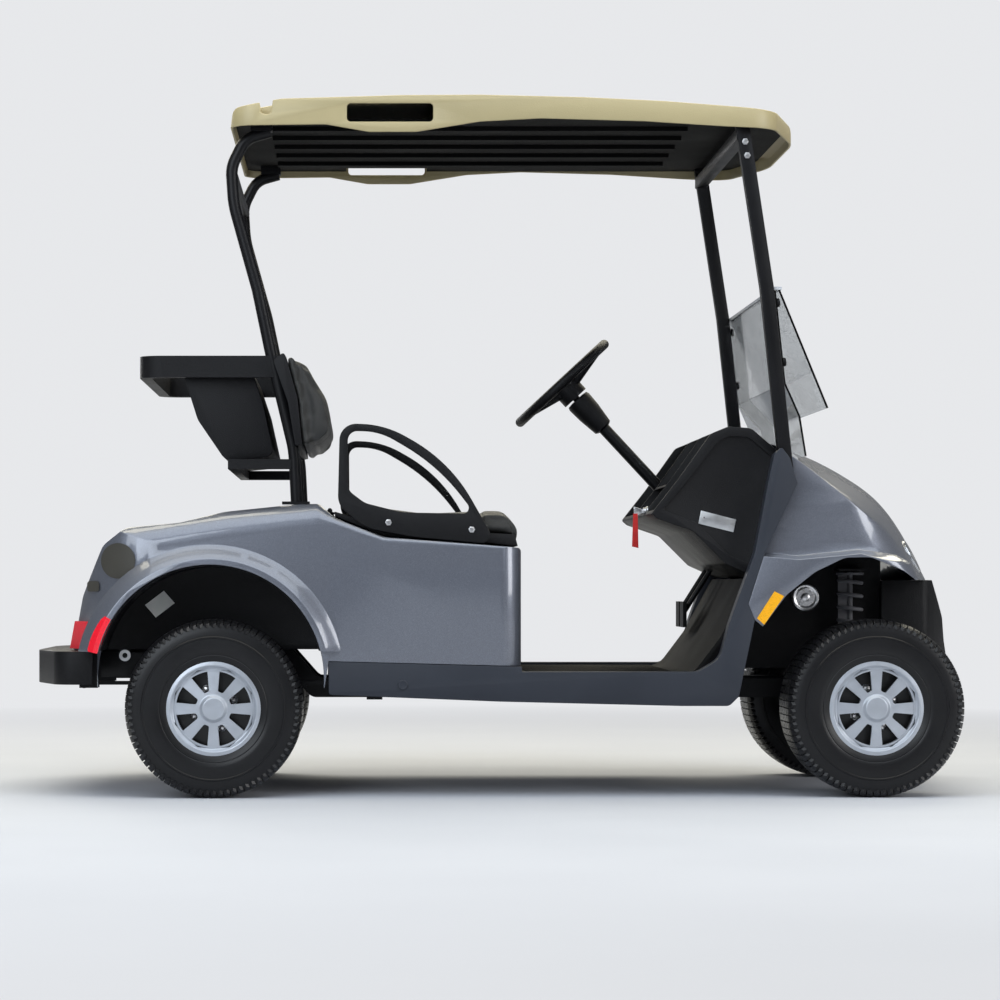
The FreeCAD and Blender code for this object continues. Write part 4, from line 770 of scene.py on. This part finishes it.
LAMP = (1.064, 0.330, 0.610)  # the left bowl's centre
headlamp = Finish("headlamp_lens", {"Coat Weight": 1.0, "Coat Roughness": 0.02})
mirrored = headlamp.node("ShaderNodeVectorMath", {"operation": "ABSOLUTE"}, {0: headlamp.place})
off_centre = headlamp.node(
    "ShaderNodeVectorMath", {"operation": "DISTANCE"}, {0: mirrored, 1: LAMP}, output="Value")
# Painted reflection and shade: the bowl is only colour, light at its middle and darkening towards its edge.
bowl_painted_fade = headlamp.between(off_centre, 0.012, 0.034)
bowl_painted_shade = headlamp.mix(bowl_painted_fade, (0.75, 0.77, 0.80, 1), (0.16, 0.17, 0.18, 1))
rim = headlamp.between(off_centre, 0.0350, 0.0362)
headlamp.give("Base Color", headlamp.mix(rim, bowl_painted_shade, (0.55, 0.56, 0.58, 1)))
headlamp.give("Metallic", headlamp.between(off_centre, 0.012, 0.016, 0.1, 0.8))
headlamp.give("Roughness", headlamp.between(headlamp.noise(90.0), 0.3, 0.7, 0.12, 0.28))
headlamp.bump(headlamp.cells(160.0), 0.0005)
dress("headlamps", headlamp.material)
dress("front_reflectors", lens("amber_lens", (1.0, 0.46, 0.0), 380.0))
red_lens = lens("red_lens", (1.0, 0.004, 0.025), 380.0)
dress("tail_lamps", red_lens)


# Side reflectors: red acrylic strips, let into the lower rear end of each rear arch's flare.
# They follow the flare's flat lip and the start of its slope, a little proud of the paint.
ARCH = (-0.740, 0.300)
FLARE_FACE = 0.5799
FLARE_RIM, LIP_EDGE = 0.2885, 0.3008
SLOPE_START = 0.301
FLARE_SLOPE = 0.034 / 0.039
THICK = 0.0015
REFLECTOR = (
    # turn back from straight up in degrees, outer radius
    (59.0, 0.306), (61.0, 0.311), (64.0, 0.313), (68.0, 0.315), (72.0, 0.316), (76.0, 0.316), (77.3, 0.314),
)
for side, word in SIDES:
    shape = bmesh.new()
    rows = []
    for turn, outer in REFLECTOR:
        bearing = math.radians(turn)
        row = []
        for lift in (0.0, THICK):
            for radius in (FLARE_RIM, LIP_EDGE, outer):
                y = FLARE_FACE - max(0.0, radius - SLOPE_START) * FLARE_SLOPE + lift
                row.append(shape.verts.new((
                    ARCH[0] - radius * math.sin(bearing), side * y, ARCH[1] + radius * math.cos(bearing))))
        rows.append(row)
    for row, after in zip(rows, rows[1:]):
        for a, b in ((0, 1), (1, 2), (2, 5), (5, 4), (4, 3), (3, 0)):
            shape.faces.new((row[a], row[b], after[b], after[a]))
    for row in (rows[0], rows[-1]):
        for a in (0, 1):
            shape.faces.new((row[a], row[a + 1], row[a + 4], row[a + 3]))
    bmesh.ops.recalc_face_normals(shape, faces=shape.faces[:])
    reflector = smoothed(placed("side_reflector_" + word, meshed(shape), red_lens))
    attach(reflector, "chassis")


# Horn: a black pressed body bolted to the frame inside the right front wheel's arch.
# A zinc-plated ring and a centre nut are pressed into its face.
dress("horn", black_steel)
horn_low, horn_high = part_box("horn")
HORN_RING = ((0.0, 0.034), (0.004, 0.034), (0.006, 0.031), (0.005, 0.026), (0.001, 0.022), (0.001, 0.012),
             (0.008, 0.010), (0.010, 0.006), (0.010, 0.001))
HORN_HALF = 0.036
horn_place = (horn_high[0] - HORN_HALF, horn_low[1] + 0.0002, horn_high[2] - HORN_HALF)
horn_ring = turned("horn_ring", HORN_RING, horn_place, (0, -1, 0), 40, zinc.material)
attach(horn_ring, "chassis")


# Roof: one moulded shell in warm grey-beige, slightly textured so that it doesn't glare.
# It is bolted to the heads of the front posts and the rear struts.
roof_skin = Finish("roof_beige", {"Specular IOR Level": 0.5, "Coat Weight": 0.15, "Coat Roughness": 0.3})
wear(roof_skin, (0.375, 0.315, 0.168), 1.6, 0.46)
roof_skin.bump(roof_skin.cells(420.0, "F1"), 0.0003)
eased("roof", "chassis", roof_skin.material, 0.0022)


# Windshield: two panes of clear acrylic, hinged by a moulded strip, the upper one folded down in front.
# Cloth marks leave the polish a little uneven.
clear = Finish("clear_acrylic", {
    "Transmission Weight": 1.0, "IOR": 1.49, "Base Color": (0.93, 0.96, 0.97, 1),
})
scuffs = clear.noise(35.0, 8.0)
clear.give("Roughness", clear.between(scuffs, 0.45, 0.8, 0.01, 0.12))
dress("windshield", clear.material)
dress("windshield_fittings", moulded("clear_strip", (0.5, 0.52, 0.55), 0.3, 500.0, 0.0001))


# Cushions: vinyl over foam, stuffed by a cloth simulation from slightly smaller blocks.
# The seams are drawn in afterwards, because the remesh loses anything narrower than its voxels.
vinyl = Finish("grained_vinyl", {"Specular IOR Level": 0.5, "Sheen Weight": 0.05})
wear(vinyl, (0.011, 0.011, 0.010), 9.0, 0.32)
creases = vinyl.cells(520.0)
soft_folds = vinyl.noise(26.0, 4.0)
vinyl.bump(vinyl.between(creases, 0.0, 0.25) + soft_folds * 2.0, 0.0004)
SHRINK = 0.007
PRESSURE = 4.0
FRAMES = 20
SEAM_WIDTH, SEAM_DEPTH = 0.006, 0.006
SEAT_HELD_BELOW, SEAT_FREE_FROM = 0.69, 0.03
SEAT_SEAM_X = -0.055
BACK_FACE = (-0.508, 0.892)  # x and z at the foot of the face that lies against the shell
BACK_LEAN = -0.182
BACK_HELD = 0.020


def stuffed(name, node, voxel, cap, rests):
    """The CAD block remeshed, drawn in, blown up as cloth and capped. rests(v) is 0 where it is held flat."""
    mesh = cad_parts[node].data.copy()
    pad = placed(name, mesh, vinyl.material)
    shape = bmesh.new()
    shape.from_mesh(mesh)
    bmesh.ops.remove_doubles(shape, verts=shape.verts[:], dist=1e-5)
    shape.to_mesh(mesh)
    shape.free()
    remesh = pad.modifiers.new("remesh", "REMESH")
    remesh.mode = "VOXEL"
    remesh.voxel_size = voxel
    settled(pad)
    shape = bmesh.new()
    shape.from_mesh(pad.data)
    for _ in range(3):
        bmesh.ops.smooth_vert(shape, verts=shape.verts[:], factor=0.5, use_axis_x=True, use_axis_y=True,
                              use_axis_z=True)
    shape.normal_update()
    for v in shape.verts:
        v.co -= v.normal * SHRINK * rests(v.co)
    shape.to_mesh(pad.data)
    shape.free()
    start = [v.co.copy() for v in pad.data.vertices]
    cloth = pad.modifiers.new("cloth", "CLOTH")
    cloth.settings.use_pressure = True
    cloth.settings.uniform_pressure_force = PRESSURE
    cloth.settings.effector_weights.gravity = 0.0
    cloth.point_cache.frame_end = FRAMES
    for step in range(1, FRAMES + 1):
        scene.frame_set(step)
    graph = bpy.context.evaluated_depsgraph_get()
    blown = pad.evaluated_get(graph).data
    ends = [v.co.copy() for v in blown.vertices]
    pad.modifiers.clear()
    scene.frame_set(1)
    for vertex, before, after in zip(pad.data.vertices, start, ends):
        move = after - before
        if move.length > cap:
            move = move * (cap / move.length)
        vertex.co = before + move * rests(before)
    pad.modifiers.new("smooth", "SUBSURF").levels = 1
    pad.modifiers["smooth"].render_levels = 1
    return smoothed(settled(pad), 180.0)


def drawn_in(pad, seams):
    """Presses sewn lines into a pad. Each seam gives a vertex's distance from it, its width and depth."""
    mesh = pad.data
    normals = [v.normal.copy() for v in mesh.vertices]
    for vertex, normal in zip(mesh.vertices, normals):
        for distance, width, depth in seams:
            vertex.co -= normal * depth * math.exp(-(distance(vertex.co) / width) ** 2)
    mesh.update()
    return pad


def seat_rests(v):
    """The seat's cushion is free on top and at its front edge, and held where it lies on its pan."""
    return 1.0 if v.z > SEAT_HELD_BELOW or v.x > SEAT_FREE_FROM else 0.35


def back_rests(v):
    """The backrest's cushion is held along the leaning face that lies against its shell."""
    return 1.0 if v.x > BACK_FACE[0] + BACK_LEAN * (v.z - BACK_FACE[1]) + BACK_HELD else 0.1


seat = stuffed("seat_cover", "seat_cushion", 0.009, 0.012, seat_rests)
drawn_in(seat, [
    (lambda v: v.y, SEAM_WIDTH, SEAM_DEPTH), (lambda v: v.x - SEAT_SEAM_X, SEAM_WIDTH, SEAM_DEPTH)])
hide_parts("seat_cushion")
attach(seat, "seat_bottom")

back = stuffed("backrest_cover", "backrest_cushion", 0.008, 0.012, back_rests)
drawn_in(back, [(lambda v: v.y, SEAM_WIDTH, SEAM_DEPTH)])
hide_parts("backrest_cushion")
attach(back, "chassis")
